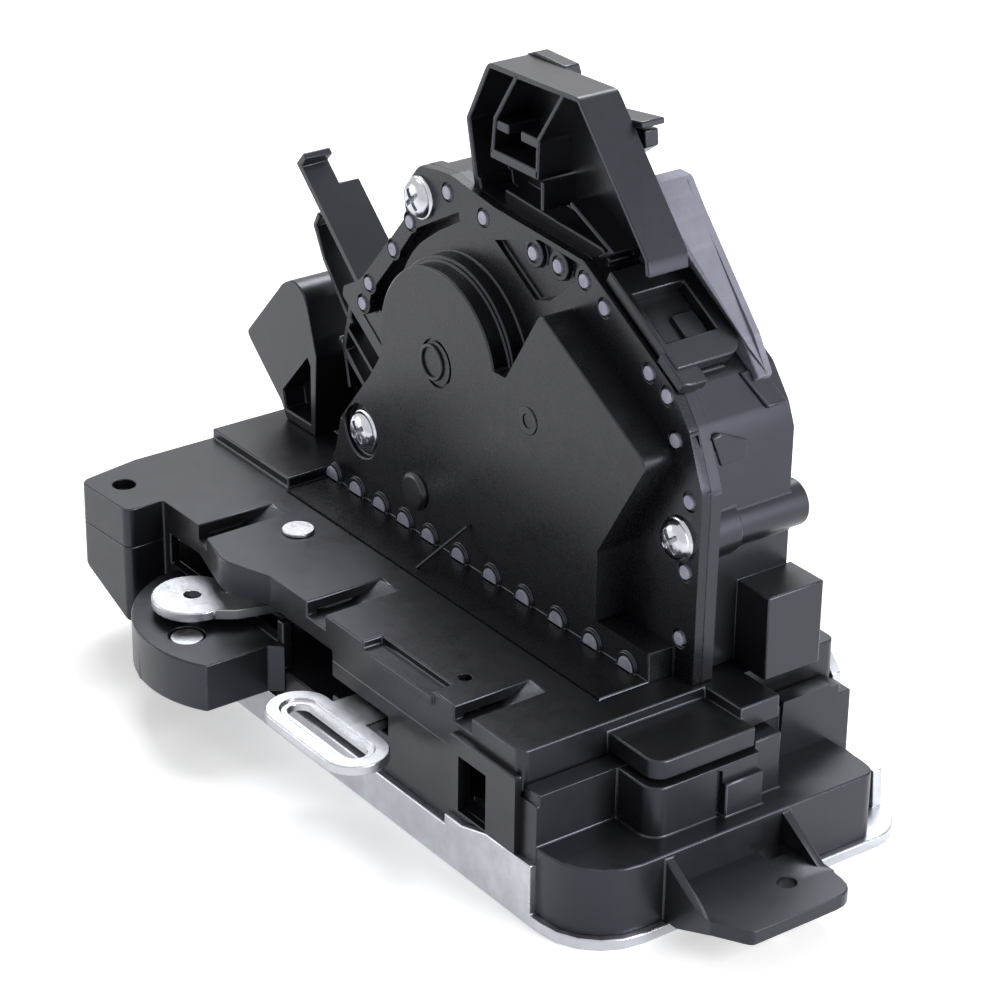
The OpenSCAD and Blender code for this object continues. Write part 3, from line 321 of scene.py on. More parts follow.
# The stretch of the grain's height that the roughness follows, on zinc a shorter one
GRAIN_RANGE, ZINC_GRAIN_RANGE = (0.5, 1.3), (0.6, 1.3)
# Depth of the grain where its strength is 1, on the mouldings and on all else
DEEP_GRAIN, FINE_GRAIN = 0.2 * MM, 0.15 * MM
# Tint of the shine on the mouldings
COOL_SHINE = (0.8, 0.82, 1.0, 1.0)


def moulded_plastic(name, colour, rough=0.33, grain=1800.0, depth=0.06, edge_wear_and_sheen=0.0, shine=0.55):
    """Satin moulding: cloudy tone, fine grain, rubbed marks, and where asked a painted highlight, a pale
    broken line for the rounded edges.
    """
    material, tree, shader = new_material(name)
    clouded, rubbed, painted_highlight = (rgba(colour, times) for times in MOULDED_TONES)
    shade = use_group(tree, "Shade variation", Colour=rgba(colour), Second_colour=clouded,
                      Scale=45.0, Share=0.7)
    marks = use_group(tree, "Handling marks", Scale=140.0, Cover=0.28, Amount=0.35)
    tone = blend_colours(tree, marks["Mask"], shade["Colour"], rubbed)
    height = use_group(tree, "Moulding grain", Grain_scale=grain, Peel_scale=grain / 7,
                       Peel_share=0.8)["Height"]
    # Painted highlight: a pale broken line, for the finish on the rounded edges
    if edge_wear_and_sheen:
        edge = use_group(tree, "Edge wear", Scale=150.0, Amount=edge_wear_and_sheen)
        tone = blend_colours(tree, edge["Mask"], tone, painted_highlight)
    tree.links.new(tone, shader.inputs["Base Color"])
    set_roughness(tree, shader, height, GRAIN_RANGE, (rough - 0.06, rough + 0.06),
                  marks["Mask"], rubbed=0.25)
    shader.inputs["Specular IOR Level"].default_value = shine
    shader.inputs["Specular Tint"].default_value = COOL_SHINE
    add_bump(tree, shader, height, depth, DEEP_GRAIN)
    return material


def zinc_steel(name, colour, rough=0.3, depth=0.05, edge_wear_and_sheen=0.0, level=1.0):
    """Zinc-plated steel: crystalline mottling, rolling grain and dull rubbed marks."""
    material, tree, shader = new_material(name)
    colour = rgba(colour, level)[:3]
    clouded, rubbed, dull = (rgba(colour, times) for times in ZINC_TONES)
    shade = use_group(tree, "Shade variation", Colour=rgba(colour), Second_colour=clouded,
                      Scale=220.0, Share=0.8)
    marks = use_group(tree, "Handling marks", Scale=200.0, Cover=0.3, Amount=0.7)
    tone = blend_colours(tree, marks["Mask"], shade["Colour"], rubbed)
    if edge_wear_and_sheen:
        edge = use_group(tree, "Edge wear", Scale=260.0, Amount=edge_wear_and_sheen)
        tone = blend_colours(tree, edge["Mask"], tone, dull)
    height = use_group(tree, "Moulding grain", Grain_scale=1500.0, Peel_scale=320.0,
                       Peel_share=0.9)["Height"]
    tree.links.new(tone, shader.inputs["Base Color"])
    set_roughness(tree, shader, height, ZINC_GRAIN_RANGE, (rough - 0.08, rough + 0.1),
                  marks["Mask"], rubbed=0.2)
    shader.inputs["Metallic"].default_value = 1.0
    add_bump(tree, shader, height, depth, FINE_GRAIN)
    return material


def plain_finish(name, colour, second, rough, metallic=0.0):
    """A finish for the small and inner parts: two close tones, grain and a changing gloss."""
    material, tree, shader = new_material(name)
    shade = use_group(tree, "Shade variation", Colour=rgba(colour), Second_colour=rgba(second),
                      Scale=400.0, Share=1.0)
    height = use_group(tree, "Moulding grain", Grain_scale=1500.0, Peel_scale=300.0,
                       Peel_share=0.6)["Height"]
    tree.links.new(shade["Colour"], shader.inputs["Base Color"])
    set_roughness(tree, shader, height, GRAIN_RANGE, (rough - 0.07, rough + 0.07))
    shader.inputs["Metallic"].default_value = metallic
    add_bump(tree, shader, height, strength=0.05, distance=FINE_GRAIN)
    return material


# How each finish is made, its colour or the name of its setting, and its other values
FINISHES = {
    "moulded black": (moulded_plastic, "moulded_black", {}),
    # The rounded edges of the mouldings: glossier, with a painted highlight along them
    "moulded edge": (moulded_plastic, "moulded_black", dict(rough=0.28, edge_wear_and_sheen=0.35, shine=0.62)),
    "claw coat": (moulded_plastic, "moulded_black", dict(rough=0.5)),
    "cover black": (moulded_plastic, "moulded_black", dict(rough=0.28, shine=0.42)),
    "grainy black": (moulded_plastic, "grainy_black",
                     dict(rough=0.6, grain=620.0, depth=1.0, shine=0.5)),
    "plate zinc": (zinc_steel, "zinc", dict(rough=0.34)),
    "lever zinc": (zinc_steel, "zinc", dict(rough=0.36, level=0.9)),
    "zinc edge": (zinc_steel, "zinc", dict(rough=0.26, edge_wear_and_sheen=0.5)),
    "turned pin": (zinc_steel, "zinc", dict(rough=0.36, depth=0.1)),
    "screw zinc": (zinc_steel, "zinc", dict(rough=0.2, depth=0.03)),
    "motor can": (zinc_steel, (0.5, 0.52, 0.55), dict(rough=0.28)),
    "stake": (plain_finish, "stake", dict(second=(0.4, 0.4, 0.55), rough=0.45)),
    "hard steel": (plain_finish, (0.2, 0.21, 0.23),
                   dict(second=(0.3, 0.31, 0.33), rough=0.4, metallic=1.0)),
    "rubber": (plain_finish, (0.016, 0.016, 0.016), dict(second=(0.03, 0.03, 0.03), rough=0.8)),
    "spring wire": (plain_finish, (0.16, 0.17, 0.19),
                    dict(second=(0.3, 0.3, 0.33), rough=0.35, metallic=1.0)),
    "gear acetal": (plain_finish, (0.8, 0.78, 0.7), dict(second=(0.74, 0.71, 0.62), rough=0.42)),
    "contact brass": (plain_finish, (0.7, 0.5, 0.2),
                      dict(second=(0.6, 0.4, 0.15), rough=0.3, metallic=1.0)),
    "red plunger": (plain_finish, (0.5, 0.06, 0.04), dict(second=(0.42, 0.05, 0.03), rough=0.45)),
}
MATERIALS = {}


def finish(name):
    """The finish of that name, made the first time that it is asked for."""
    if name not in MATERIALS:
        make, colour, values = FINISHES[name]
        if isinstance(colour, str):
            colour = getattr(bpy.context.scene.latch_colours, colour)
        MATERIALS[name] = make(name, colour, **values)
    return MATERIALS[name]


def set_finish(piece, face, edge=None):
    piece.data.materials.clear()
    piece.data.materials.append(finish(face))
    piece.data.materials.append(finish(edge or face))


def paint(node, face):
    """Gives a CAD node that stays as it is its finish."""
    mesh = frame["nodes"][node].data
    mesh.materials.clear()
    mesh.materials.append(finish(face))


# Rounded edges
SHARP = math.radians(32)
# A rounding needs this many times its radius along the sharp edges beside it
ROOM = 2.2
# Faces smaller than this are left out when the rounding is looked over
TINY_FACE = 0.004 * MM * MM
# A face is spoiled if it has turned from the surface, or lies this many radii off it
TURNED_OVER, OFF_SURFACE = -0.2, 0.7
# Edges within this many radii of a spoiled corner stay sharp, over so many rounds
SPOILED_REACH, EDGE_TRIES = 1.5, 6
# Stands in for the squared length of an edge that has none
NO_LENGTH = 1e-14


def smooth_but_sharp(mesh_data):
    for face in mesh_data.faces:
        face.smooth = True
    for edge in mesh_data.edges:
        edge.smooth = edge.calc_face_angle(0.0) < SHARP


def weigh_edges(mesh_data, radius):
    """Gives each sharp edge its share of the radius, less where short edges leave no room."""
    layer = mesh_data.edges.layers.float.new("bevel_weight_edge")
    for edge in mesh_data.edges:
        if not edge.smooth:
            room = min(other.calc_length() for vert in edge.verts for other in vert.link_edges
                       if not other.smooth)
            edge[layer] = min(1.0, room / (ROOM * radius))


def spoiled_corners(piece, surface, radius):
    """Corners of the faces that the rounding has turned over or pushed off the given surface."""
    shown = piece.evaluated_get(bpy.context.evaluated_depsgraph_get())
    mesh = shown.to_mesh()
    mesh.calc_loop_triangles()
    corners = []
    for triangle in mesh.loop_triangles:
        if triangle.area < TINY_FACE:
            continue
        places = [mesh.vertices[index].co for index in triangle.vertices]
        _, normal, _, distance = surface.find_nearest(sum(places, Vector()) / 3)
        if triangle.normal.dot(normal) < TURNED_OVER or distance > OFF_SURFACE * radius:
            corners += [place[:] for place in places]
    shown.to_mesh_clear()
    return corners


def keep_edges_sharp(piece, corners, reach):
    """Takes the rounding off the edges that pass near the given corners."""
    mesh = piece.data
    weights = mesh.attributes["bevel_weight_edge"].data
    ends = np.array([[mesh.vertices[index].co for index in edge.vertices] for edge in mesh.edges])
    along = ends[:, 1] - ends[:, 0]
    square = np.maximum((along ** 2).sum(1), NO_LENGTH)
    near = np.zeros(len(ends), bool)
    for corner in corners:
        share = np.clip(((corner - ends[:, 0]) * along).sum(1) / square, 0, 1)
        near |= np.linalg.norm(ends[:, 0] + along * share[:, None] - corner, axis=1) < reach
    for index in np.nonzero(near)[0]:
        weights[int(index)].value = 0.0


def round_edges(piece, radius, surface):
    bevel = piece.modifiers.new("rounded edges", "BEVEL")
    bevel.width = radius
    bevel.segments = bpy.context.scene.latch_sizes.edge_steps
    bevel.limit_method = "WEIGHT"
    bevel.use_clamp_overlap = False
    bevel.miter_outer = "MITER_SHARP"
    bevel.loop_slide = False
    # The rounded edges take the second finish, which on the mouldings carries a painted highlight
    bevel.material = 1
    piece.modifiers.new("triangles", "TRIANGULATE").min_vertices = 5
    for _ in range(EDGE_TRIES):
        corners = spoiled_corners(piece, surface, radius)
        if not corners:
            break
        keep_edges_sharp(piece, corners, SPOILED_REACH * radius)
    piece.modifiers.new("even shading", "WEIGHTED_NORMAL").keep_sharp = True


# Shapes, all in millimetres
TURNED_SIDES, RING_SIDES, ROD_SIDES = 40, 48, 16
# Facets of a hull within this angle become one face
HULL_FLAT = math.radians(1.0)
# The corner of a bent rib reaches no further than half its width over this number
BEND_LIMIT = 0.5
# Where the two numbers of an outline's corner and the level of a slab go, for each axis
SLAB_ORDER = {"X": lambda a, b, level: (level, a, b), "Y": lambda a, b, level: (a, level, b),
              "Z": lambda a, b, level: (a, b, level)}


def at_mm(x, y, z):
    return Vector((x, y, z)) * MM


def prism(outline, low, high, axis="Y"):
    """A closed slab with that outline, carried from low to high along an axis."""
    data = bmesh.new()
    place = SLAB_ORDER[axis]
    ends = [[data.verts.new(at_mm(*place(a, b, level))) for a, b in outline]
            for level in (low, high)]
    data.faces.new(ends[0])
    data.faces.new(list(reversed(ends[1])))
    for index in range(len(outline)):
        after = (index + 1) % len(outline)
        data.faces.new((ends[0][index], ends[0][after], ends[1][after], ends[1][index]))
    bmesh.ops.recalc_face_normals(data, faces=data.faces)
    return data


def block(along_x, along_y, along_z):
    """A box from its spans."""
    (x0, x1), (z0, z1) = along_x, along_z
    return prism([(x0, z0), (x1, z0), (x1, z1), (x0, z1)], *along_y)


def rib(line, width, low, high):
    """A strip of the given width along a bent line of X and Z points, carried along Y."""
    points = [Vector(point) for point in line]
    left, right = [], []
    for index, point in enumerate(points):
        before = (point - points[index - 1]).normalized() if index else None
        after = (points[index + 1] - point).normalized() if index + 1 < len(points) else None
        along = ((before or after) + (after or before)).normalized()
        across = Vector((-along.y, along.x))
        reach = width / 2 / max(BEND_LIMIT, along.dot(before or after))
        left.append(point + across * reach)
        right.append(point - across * reach)
    return prism(left + right[::-1], low, high)


def hull(points):
    """The closed convex mesh round the given points."""
    data = bmesh.new()
    for point in points:
        data.verts.new(at_mm(*point))
    bmesh.ops.convex_hull(data, input=data.verts)
    spare = [vert for vert in data.verts if not vert.link_faces]
    bmesh.ops.delete(data, geom=spare, context="VERTS")
    bmesh.ops.dissolve_limit(data, angle_limit=HULL_FLAT, verts=data.verts, edges=data.edges)
    bmesh.ops.recalc_face_normals(data, faces=data.faces)
    return data


def turned(profile, centre, level, sides=TURNED_SIDES):
    """A closed turned piece on an axis along Y: radius and height of its outline, towards -Y.

    The outline starts and ends on the axis, or comes back to its own start as a ring.
    """
    data = bmesh.new()
    loops = []
    for radius, height in profile:
        angles = [math.tau * step / sides for step in range(sides if radius else 1)]
        loops.append([data.verts.new(at_mm(centre[0] + radius * math.cos(angle), level - height,
                                           centre[1] + radius * math.sin(angle)))
                      for angle in angles])
    if profile[0][0]:
        loops.append(loops[0])
    for first, second in zip(loops, loops[1:]):
        for step in range(sides):
            after = (step + 1) % sides
            corners = [first[step % len(first)], first[after % len(first)],
                       second[after % len(second)], second[step % len(second)]]
            data.faces.new(list(dict.fromkeys(corners)))
    bmesh.ops.recalc_face_normals(data, faces=data.faces)
    return data


def ring(centre, inner, outer, level, height, sink):
    """A flat ring that stands up from a level towards -Y and is sunk into it."""
    profile = ((inner, height), (outer, height), (outer, -sink), (inner, -sink))
    return turned(profile, centre, level, RING_SIDES)


def rod(start, end, radius):
    """A round bar from one point to another."""
    data = bmesh.new()
    start, end = Vector(start) * MM, Vector(end) * MM
    turn = (end - start).to_track_quat("Z", "Y").to_matrix().to_4x4()
    bmesh.ops.create_cone(
        data, cap_ends=True, segments=ROD_SIDES, radius1=radius * MM, radius2=radius * MM,
        depth=(end - start).length, matrix=Matrix.Translation((start + end) / 2) @ turn)
    return data


def add_object(name, mesh_data):
    mesh = bpy.data.meshes.new(name)
    mesh_data.to_mesh(mesh)
    mesh_data.free()
    piece = bpy.data.objects.new(name, mesh)
    bpy.context.scene.collection.objects.link(piece)
    return piece


def joined(parts):
    """One mesh from several."""
    whole = bmesh.new()
    for part in parts:
        mesh = bpy.data.meshes.new("part")
        part.to_mesh(mesh)
        part.free()
        whole.from_mesh(mesh)
        bpy.data.meshes.remove(mesh)
    return whole


def carved(source, tools, operation="DIFFERENCE"):
    """The mesh of an object less the given closed meshes, or what it shares with them."""
    body = source.copy()
    body.data = source.data.copy()
    bpy.context.scene.collection.objects.link(body)
    cutters = [add_object("cutter", tool) for tool in tools]
    for cutter in cutters:
        cut = body.modifiers.new("cut", "BOOLEAN")
        cut.operation = operation
        cut.object = cutter
        cut.solver = "EXACT"
    data = bmesh.new()
    data.from_object(body, bpy.context.evaluated_depsgraph_get())
    for spare in cutters + [body]:
        bpy.data.objects.remove(spare)
    return data


def carved_mesh(data, tools, operation="DIFFERENCE"):
    """The same for a mesh that isn't an object yet."""
    holder = add_object("holder", data)
    result = carved(holder, tools, operation)
    bpy.data.objects.remove(holder)
    return result


# Pieces from shapes
# Corners of the CAD mesh this near are one, and facets within this angle are one face
WELD, FLAT = 0.002 * MM, math.radians(0.6)


def body_of(node):
    return frame["nodes"][node]["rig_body"]


def dress(node, radius, face, edge=None, cutters=()):
    """Stands a copy of a CAD node with rounded edges in the node's place."""
    source = frame["nodes"][node]
    if cutters:
        data = carved(source, cutters)
    else:
        data = bmesh.new()
        data.from_mesh(source.data)
    surface = BVHTree.FromBMesh(data)
    bmesh.ops.remove_doubles(data, verts=data.verts, dist=WELD)
    bmesh.ops.dissolve_limit(data, angle_limit=FLAT, verts=data.verts, edges=data.edges)
    bmesh.ops.dissolve_degenerate(data, edges=data.edges, dist=WELD)
    smooth_but_sharp(data)
    weigh_edges(data, radius)
    piece = add_object(node + "_finished", data)
    if "custom_normal" in piece.data.attributes:
        piece.data.attributes.remove(piece.data.attributes["custom_normal"])
    set_finish(piece, face, edge)
    round_edges(piece, radius, surface)
    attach(piece, body_of(node))
    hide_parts(node)
    return piece


def add_detail(name, data, radius, face="moulded black", edge="moulded edge"):
    """A small piece that only the visual model has, with rounded edges, fixed to the base."""
    surface = BVHTree.FromBMesh(data)
    smooth_but_sharp(data)
    weigh_edges(data, radius)
    piece = add_object(name, data)
    set_finish(piece, face, edge)
    round_edges(piece, radius, surface)
    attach(piece, "base")
    return piece


class LatchPiece:
    bl_options = {"REGISTER", "UNDO"}


class LATCH_OT_plate(LatchPiece, bpy.types.Operator):
    """The bent steel latch plate and the plate that ties the rivets"""
    bl_idname = "latch.plate"
    bl_label = "Latch plate"

    def execute(self, context):
        for node in ("latch_plate", "back_plate"):
            dress(node, context.scene.latch_sizes.pressed_edge, "plate zinc", "zinc edge")
        return {"FINISHED"}


class LATCH_OT_base(LatchPiece, bpy.types.Operator):
    """The latch housing, the deck cover over it and the bracket beside the levers"""
    bl_idname = "latch.base"
    bl_label = "Latch housing and deck"

    def execute(self, context):
        for node in ("latch_housing", "deck_cover", "lever_bracket"):
            dress(node, context.scene.latch_sizes.moulded_edge, "moulded black", "moulded edge")
        paint("striker_buffer", "rubber")
        return {"FINISHED"}


class LATCH_OT_levers(LatchPiece, bpy.types.Operator):
    """The two release levers"""
    bl_idname = "latch.levers"
    bl_label = "Release levers"

    def execute(self, context):
        for node in ("outside_lever", "inside_lever"):
            dress(node, context.scene.latch_sizes.pressed_edge, "lever zinc", "zinc edge")
        return {"FINISHED"}


class LATCH_OT_catch(LatchPiece, bpy.types.Operator):
    """The claw in its coat, the pawl, and the rivets and springs that they turn on"""
    bl_idname = "latch.catch"
    bl_label = "Claw and pawl"

    def execute(self, context):
        sizes = context.scene.latch_sizes
        dress("claw", sizes.pressed_edge, "hard steel")
        dress("claw_coat", sizes.moulded_edge, "claw coat")
        dress("pawl", sizes.pressed_edge, "hard steel")
        for node in ("claw_rivet", "pawl_rivet", "lever_stud", "bracket_rivet"):
            dress(node, sizes.small_edge, "turned pin", "zinc edge")
        paint("pawl_pin", "turned pin")
        for node in ("claw_spring", "pawl_spring", "inside_lever_spring"):
            paint(node, "spring wire")
        return {"FINISHED"}


# The right shoulder of the shell: a point on it and its slope. What stands on the shoulder is
# given by spans down the slope, along Y and square to the slope.
SHOULDER_TOP = (-1.0, 103.0)
SHOULDER_SLOPE = math.atan2(15.1, 26.0)


def on_shoulder(data):
    """Moves a mesh from the shoulder's own frame into place."""
    place = Matrix.Translation(at_mm(SHOULDER_TOP[0], 0.0, SHOULDER_TOP[1]))
    data.transform(place @ Matrix.Rotation(SHOULDER_SLOPE, 4, "Y"))
    return data


# The clip frame, with round corners at its far side, and the window in it
CLIP_LONG, CLIP_DEEP, CLIP_HIGH = (5.4, 28.3), (5.6, 21.6), (0.3, 2.9)
CLIP_CORNER, CORNER_STEPS = 4.2, 6
WINDOW_LONG, WINDOW_DEEP, WINDOW_HIGH = (11.3, 22.6), (7.0, 18.4), (-1.0, 9.0)
# The floor and the nose in the window, and the lug below the frame
CLIP_FLOOR = (11.0, 22.9), (6.8, 18.6), (-0.6, 0.5)
CLIP_NOSE = (16.6, 22.2), (12.6, 17.4), (0.2, 1.6)
CLIP_LUG = (24.0, 4.9), (31.4, 4.9), (31.9, 6.4), (31.9, 10.3), (24.0, 10.3)
CLIP_LUG_HIGH = (0.1, 2.5)
# What is cleared of the shell's own plain frame, and of the hood's leg above it
CLIP_ROOM = (2.4, 32.2), (4.3, 24.0), (0.02, 3.6)
LEG_FOOT = (1.2, 99.0), (10.6, 104.6), (30.0, 104.6), (30.0, 82.0)
LEG_DEEP = (4.0, 16.0)
LEG_ROOM = (2.4, 40.0), LEG_DEEP, (3.0, 20.0)


def clip_cutters():
    """What is cut from the shell: the plain clip frame, and the foot of the hood's leg over it."""
    leg_foot = prism(LEG_FOOT, *LEG_DEEP)
    foot_room = carved_mesh(leg_foot, [on_shoulder(block(*LEG_ROOM))], "INTERSECT")
    return on_shoulder(block(*CLIP_ROOM)), foot_room


def clip_frame_mesh():
    """The frame, its four bars meeting as one ring."""
    (near, far), (front, back) = CLIP_LONG, CLIP_DEEP
    outline = [(near, front)]
    for centre, start in ((near + CLIP_CORNER, 180), (far - CLIP_CORNER, 90)):
        for step in range(CORNER_STEPS + 1):
            angle = math.radians(start - 90 * step / CORNER_STEPS)
            outline.append((centre + CLIP_CORNER * math.cos(angle),
                            back - CLIP_CORNER + CLIP_CORNER * math.sin(angle)))
    outline.append((far, front))
    frame_block = prism(outline, *CLIP_HIGH, "Z")
    return carved_mesh(frame_block, [block(WINDOW_LONG, WINDOW_DEEP, WINDOW_HIGH)])


def add_clip_frame(radius):
    nose = joined([block(*CLIP_FLOOR), block(*CLIP_NOSE)])
    lug = prism(CLIP_LUG, *CLIP_LUG_HIGH, "Z")
    add_detail("clip_frame", on_shoulder(clip_frame_mesh()), radius)
    add_detail("clip_nose", on_shoulder(nose), radius)
    add_detail("clip_lug", on_shoulder(lug), radius)


# The tray of the hood inside its thin rim, and the ribs in it
HOOD_TRAY = ((-36.2, 107.4), (-38.6, 118.1), (-32.7, 129.4), (-6.7, 130.4), (13.5, 107.4),
             (13.9, 104.6), (10.6, 104.6), (-1.0, 107.4))
HOOD_FRONT, HOOD_FLOOR = 6.5, 13.9
TRAY_DEEP = (HOOD_FRONT - 1.0, HOOD_FLOOR)
# The ribs run this far into the tray's floor
RIB_SINK = 0.4
RIB_DEEP = (HOOD_FRONT, HOOD_FLOOR + RIB_SINK)
# The socket: two ribs as its sides, a sill under it and a tongue on each side
SOCKET_SIDES = (((-24.4, 130.6), (-31.0, 120.4), (-31.7, 113.4)),
                ((-10.8, 130.8), (-17.9, 120.0), (-18.0, 112.6)))
SOCKET_WALL = 1.0
SOCKET_SILL = (-32.2, -17.5), RIB_DEEP, (112.4, 114.4)
TONGUES_ALONG, TONGUES_HIGH = ((-31.4, -27.0), (-23.4, -17.7)), (118.2, 120.2)
TONGUE_DEEP = (HOOD_FRONT + 0.3, HOOD_FLOOR + RIB_SINK)
# The post under the socket, and the low rib on the tray's floor
POST_LINE = ((-16.4, 112.6), (-16.2, 107.0))
FLOOR_RIB, FLOOR_RIB_FRONT = ((-10.0, 110.3), (2.3, 104.9), (-2.2, 101.9)), 8.0
THIN_RIB = 0.9
# Behind the hood: the lug at its top, and the tab and its knuckle at its right side
HOOD_BACK = {
    "hood_lug": (((-33.6, 130.3), (-31.0, 131.4), (-21.6, 131.3), (-20.6, 129.4)), 15.2, 18.6),
    "hood_tab": (((-13.0, 125.4), (0.6, 127.3), (0.9, 126.1), (-13.0, 123.2)), 15.4, 20.6),
    "hood_knuckle": (((-10.6, 123.8), (-0.6, 125.0), (-0.2, 121.9), (-4.8, 118.6),
                      (-9.6, 119.2)), 17.2, 20.3),
}


def add_hood_details(radius):
    parts = [rib(line, SOCKET_WALL, *RIB_DEEP) for line in SOCKET_SIDES]
    parts.append(block(*SOCKET_SILL))
    parts += [block(along, TONGUE_DEEP, TONGUES_HIGH) for along in TONGUES_ALONG]
    parts.append(rib(POST_LINE, THIN_RIB, *RIB_DEEP))
    parts.append(rib(FLOOR_RIB, THIN_RIB, FLOOR_RIB_FRONT, HOOD_FLOOR + RIB_SINK))
    for index, part in enumerate(parts):
        add_detail(f"hood_rib_{index}", part, radius)
    for name, shape in HOOD_BACK.items():
        add_detail(name, prism(*shape), radius)


# The grained side of the rear case: a wedge behind the hood's leg, and the plate it ends on
CASE_WEDGE = ((0.2, 15.7, 116.4), (0.2, 15.7, 115.3), (3.4, 15.7, 116.4), (3.4, 15.7, 113.6),
              (6.3, 15.7, 112.0), (6.3, 15.7, 111.7), (5.1, 21.8, 102.9), (24.9, 21.8, 91.3),
              (0.2, 24.8, 116.4), (3.4, 24.8, 116.4), (7.4, 24.8, 111.4), (27.9, 24.2, 86.5))
CASE_PLATE = ((-3.6, 98.6), (0.2, 116.4), (3.4, 116.4), (7.4, 111.4), (27.9, 86.5), (24.0, 83.0))
CASE_PLATE_DEEP = (21.8, 24.7)
# The raised slab on the steep face above the side: its corners, the way that the face looks,
# and how far the slab goes into the face and stands out of it
SLAB_CORNERS = ((24.7, 19.6, 86.8), (29.4, 22.6, 80.9), (29.4, 27.0, 80.9), (24.7, 24.6, 86.8))
STEEP_FACE = Vector((0.788, 0.0, 0.616))
SLAB_LIFT = (-0.6, 0.9)
# The flat patch on the side, by Y and Z, and its span along X
SIDE_PATCH = ((8.7, 79.6), (11.0, 80.0), (16.9, 77.2), (16.9, 74.1), (10.9, 73.6))
PATCH_SPAN = (30.6, 31.65)


def add_shell_details(radius):
    wedge = hull(CASE_WEDGE)
    plate = prism(CASE_PLATE, *CASE_PLATE_DEEP)
    slab = hull([Vector(corner) + STEEP_FACE * lift
                 for corner in SLAB_CORNERS for lift in SLAB_LIFT])
    add_detail("case_wedge", wedge, radius, "grainy black", "grainy black")
    add_detail("case_plate", plate, radius, "grainy black", "grainy black")
    add_detail("side_slab", slab, radius)
    add_detail("side_patch", prism(SIDE_PATCH, *PATCH_SPAN, "X"), radius)


# Share of the usual edge radius on the finest details
RING_EDGE, HUB_EDGE, ROD_EDGE, SCREW_EDGE = 0.6, 0.8, 0.4, 0.5
# The cover: its raised front, the slot beside it, and the marks, each with its centre in X and Z
COVER_FRONT = -2.6
COVER_SLOT, SLOT_DEEP = ((29.9, 80.2), (33.2, 75.4), (35.4, 75.4), (32.1, 81.6)), (4.9, 6.3)
SMALL_RING = dict(centre=(-7.0, 71.2), inner=1.4, outer=2.7, height=0.25, sink=0.6)
HUB_RING = dict(centre=(-37.3, 71.8), inner=2.9, outer=3.7, height=0.5, sink=0.6)
BUMP_CENTRE = (-42.6, 42.6)
BUMP_PROFILE = ((0.0, -0.6), (3.9, -0.6), (3.9, 0.5), (3.2, 1.0), (0.0, 1.15))
FOOT_ROD, FOOT_ROD_RADIUS = ((-31.2, -10.3, 32.9), (-24.9, -3.0, 42.3)), 0.32


def add_cover_details(radius):
    add_detail("cover_ring", ring(level=COVER_FRONT, **SMALL_RING), radius * RING_EDGE)
    add_detail("hub_ring", ring(level=COVER_FRONT, **HUB_RING), radius * HUB_EDGE)
    add_detail("pivot_bump", turned(BUMP_PROFILE, BUMP_CENTRE, COVER_FRONT), radius)
    add_detail("foot_rod", rod(*FOOT_ROD, FOOT_ROD_RADIUS), radius * ROD_EDGE)


class LATCH_OT_actuator(LatchPiece, bpy.types.Operator):
    """The actuator's back shell, its clip frame, and the cover that faces the front"""
    bl_idname = "latch.actuator"
    bl_label = "Actuator housing and cover"

    def execute(self, context):
        edge = context.scene.latch_sizes.moulded_edge
        housing_cutters = clip_cutters() + (prism(HOOD_TRAY, *TRAY_DEEP),)
        cover_cutters = (prism(COVER_SLOT, *SLOT_DEEP),)
        dress("actuator_housing", edge, "moulded black", "moulded edge", housing_cutters)
        dress("actuator_cover", edge, "cover black", "moulded edge", cover_cutters)
        add_clip_frame(edge)
        add_hood_details(edge)
        add_shell_details(edge)
        add_cover_details(edge)
        return {"FINISHED"}


# Axis of each cover screw in X and Z, with the level that its head sits on
SCREWS = (((-51.2, 99.0), 4.5), ((-61.6, 48.0), -1.2), ((28.6, 60.1), 4.5))
# The washer and the domed head on it, by radius and height
SCREW_HEAD = ((0.0, -0.2), (4.3, -0.2), (4.3, 0.55), (3.75, 0.75), (3.7, 1.2), (3.3, 1.75),
              (2.5, 2.15), (1.3, 2.35), (0.0, 2.4))
SCREW_SHANK, SHANK_TOP, SHANK_END = 1.8, 0.1, 14.0
# The cross recess: the turn of its arms, their half length and half width, top and bottom
CROSS_TURNS = (math.radians(40), math.radians(130))
CROSS_REACH, CROSS_HALF, CROSS_TOP, CROSS_BOTTOM = 2.3, 0.5, 3.0, 1.1


def cross_arm(centre, turn, level):
    along = Vector((math.cos(turn), math.sin(turn)))
    across = Vector((-along.y, along.x))
    corners = [Vector(centre) + along * CROSS_REACH * a + across * CROSS_HALF * b
               for a, b in ((-1, -1), (1, -1), (1, 1), (-1, 1))]
    return prism(corners, level - CROSS_TOP, level - CROSS_BOTTOM)


def add_cover_screws(radius):
    """Pan heads with a cross recess, on their shanks, in place of the plain screws."""
    parts = []
    for (x, z), level in SCREWS:
        arms = [cross_arm((x, z), turn, level) for turn in CROSS_TURNS]
        parts.append(carved_mesh(turned(SCREW_HEAD, (x, z), level), arms))
        parts.append(rod((x, level - SHANK_TOP, z), (x, level + SHANK_END, z), SCREW_SHANK))
    piece = add_detail("cover_screws_finished", joined(parts), radius, "screw zinc", "screw zinc")
    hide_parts("cover_screws")


class LATCH_OT_fasteners(LatchPiece, bpy.types.Operator):
    """The melted stakes and the three cover screws"""
    bl_idname = "latch.fasteners"
    bl_label = "Stakes and screws"

    def execute(self, context):
        edge = context.scene.latch_sizes.small_edge
        dress("heat_stakes", edge, "stake")
        dress("edge_stakes", edge, "stake")
        add_cover_screws(edge * SCREW_EDGE)
        return {"FINISHED"}


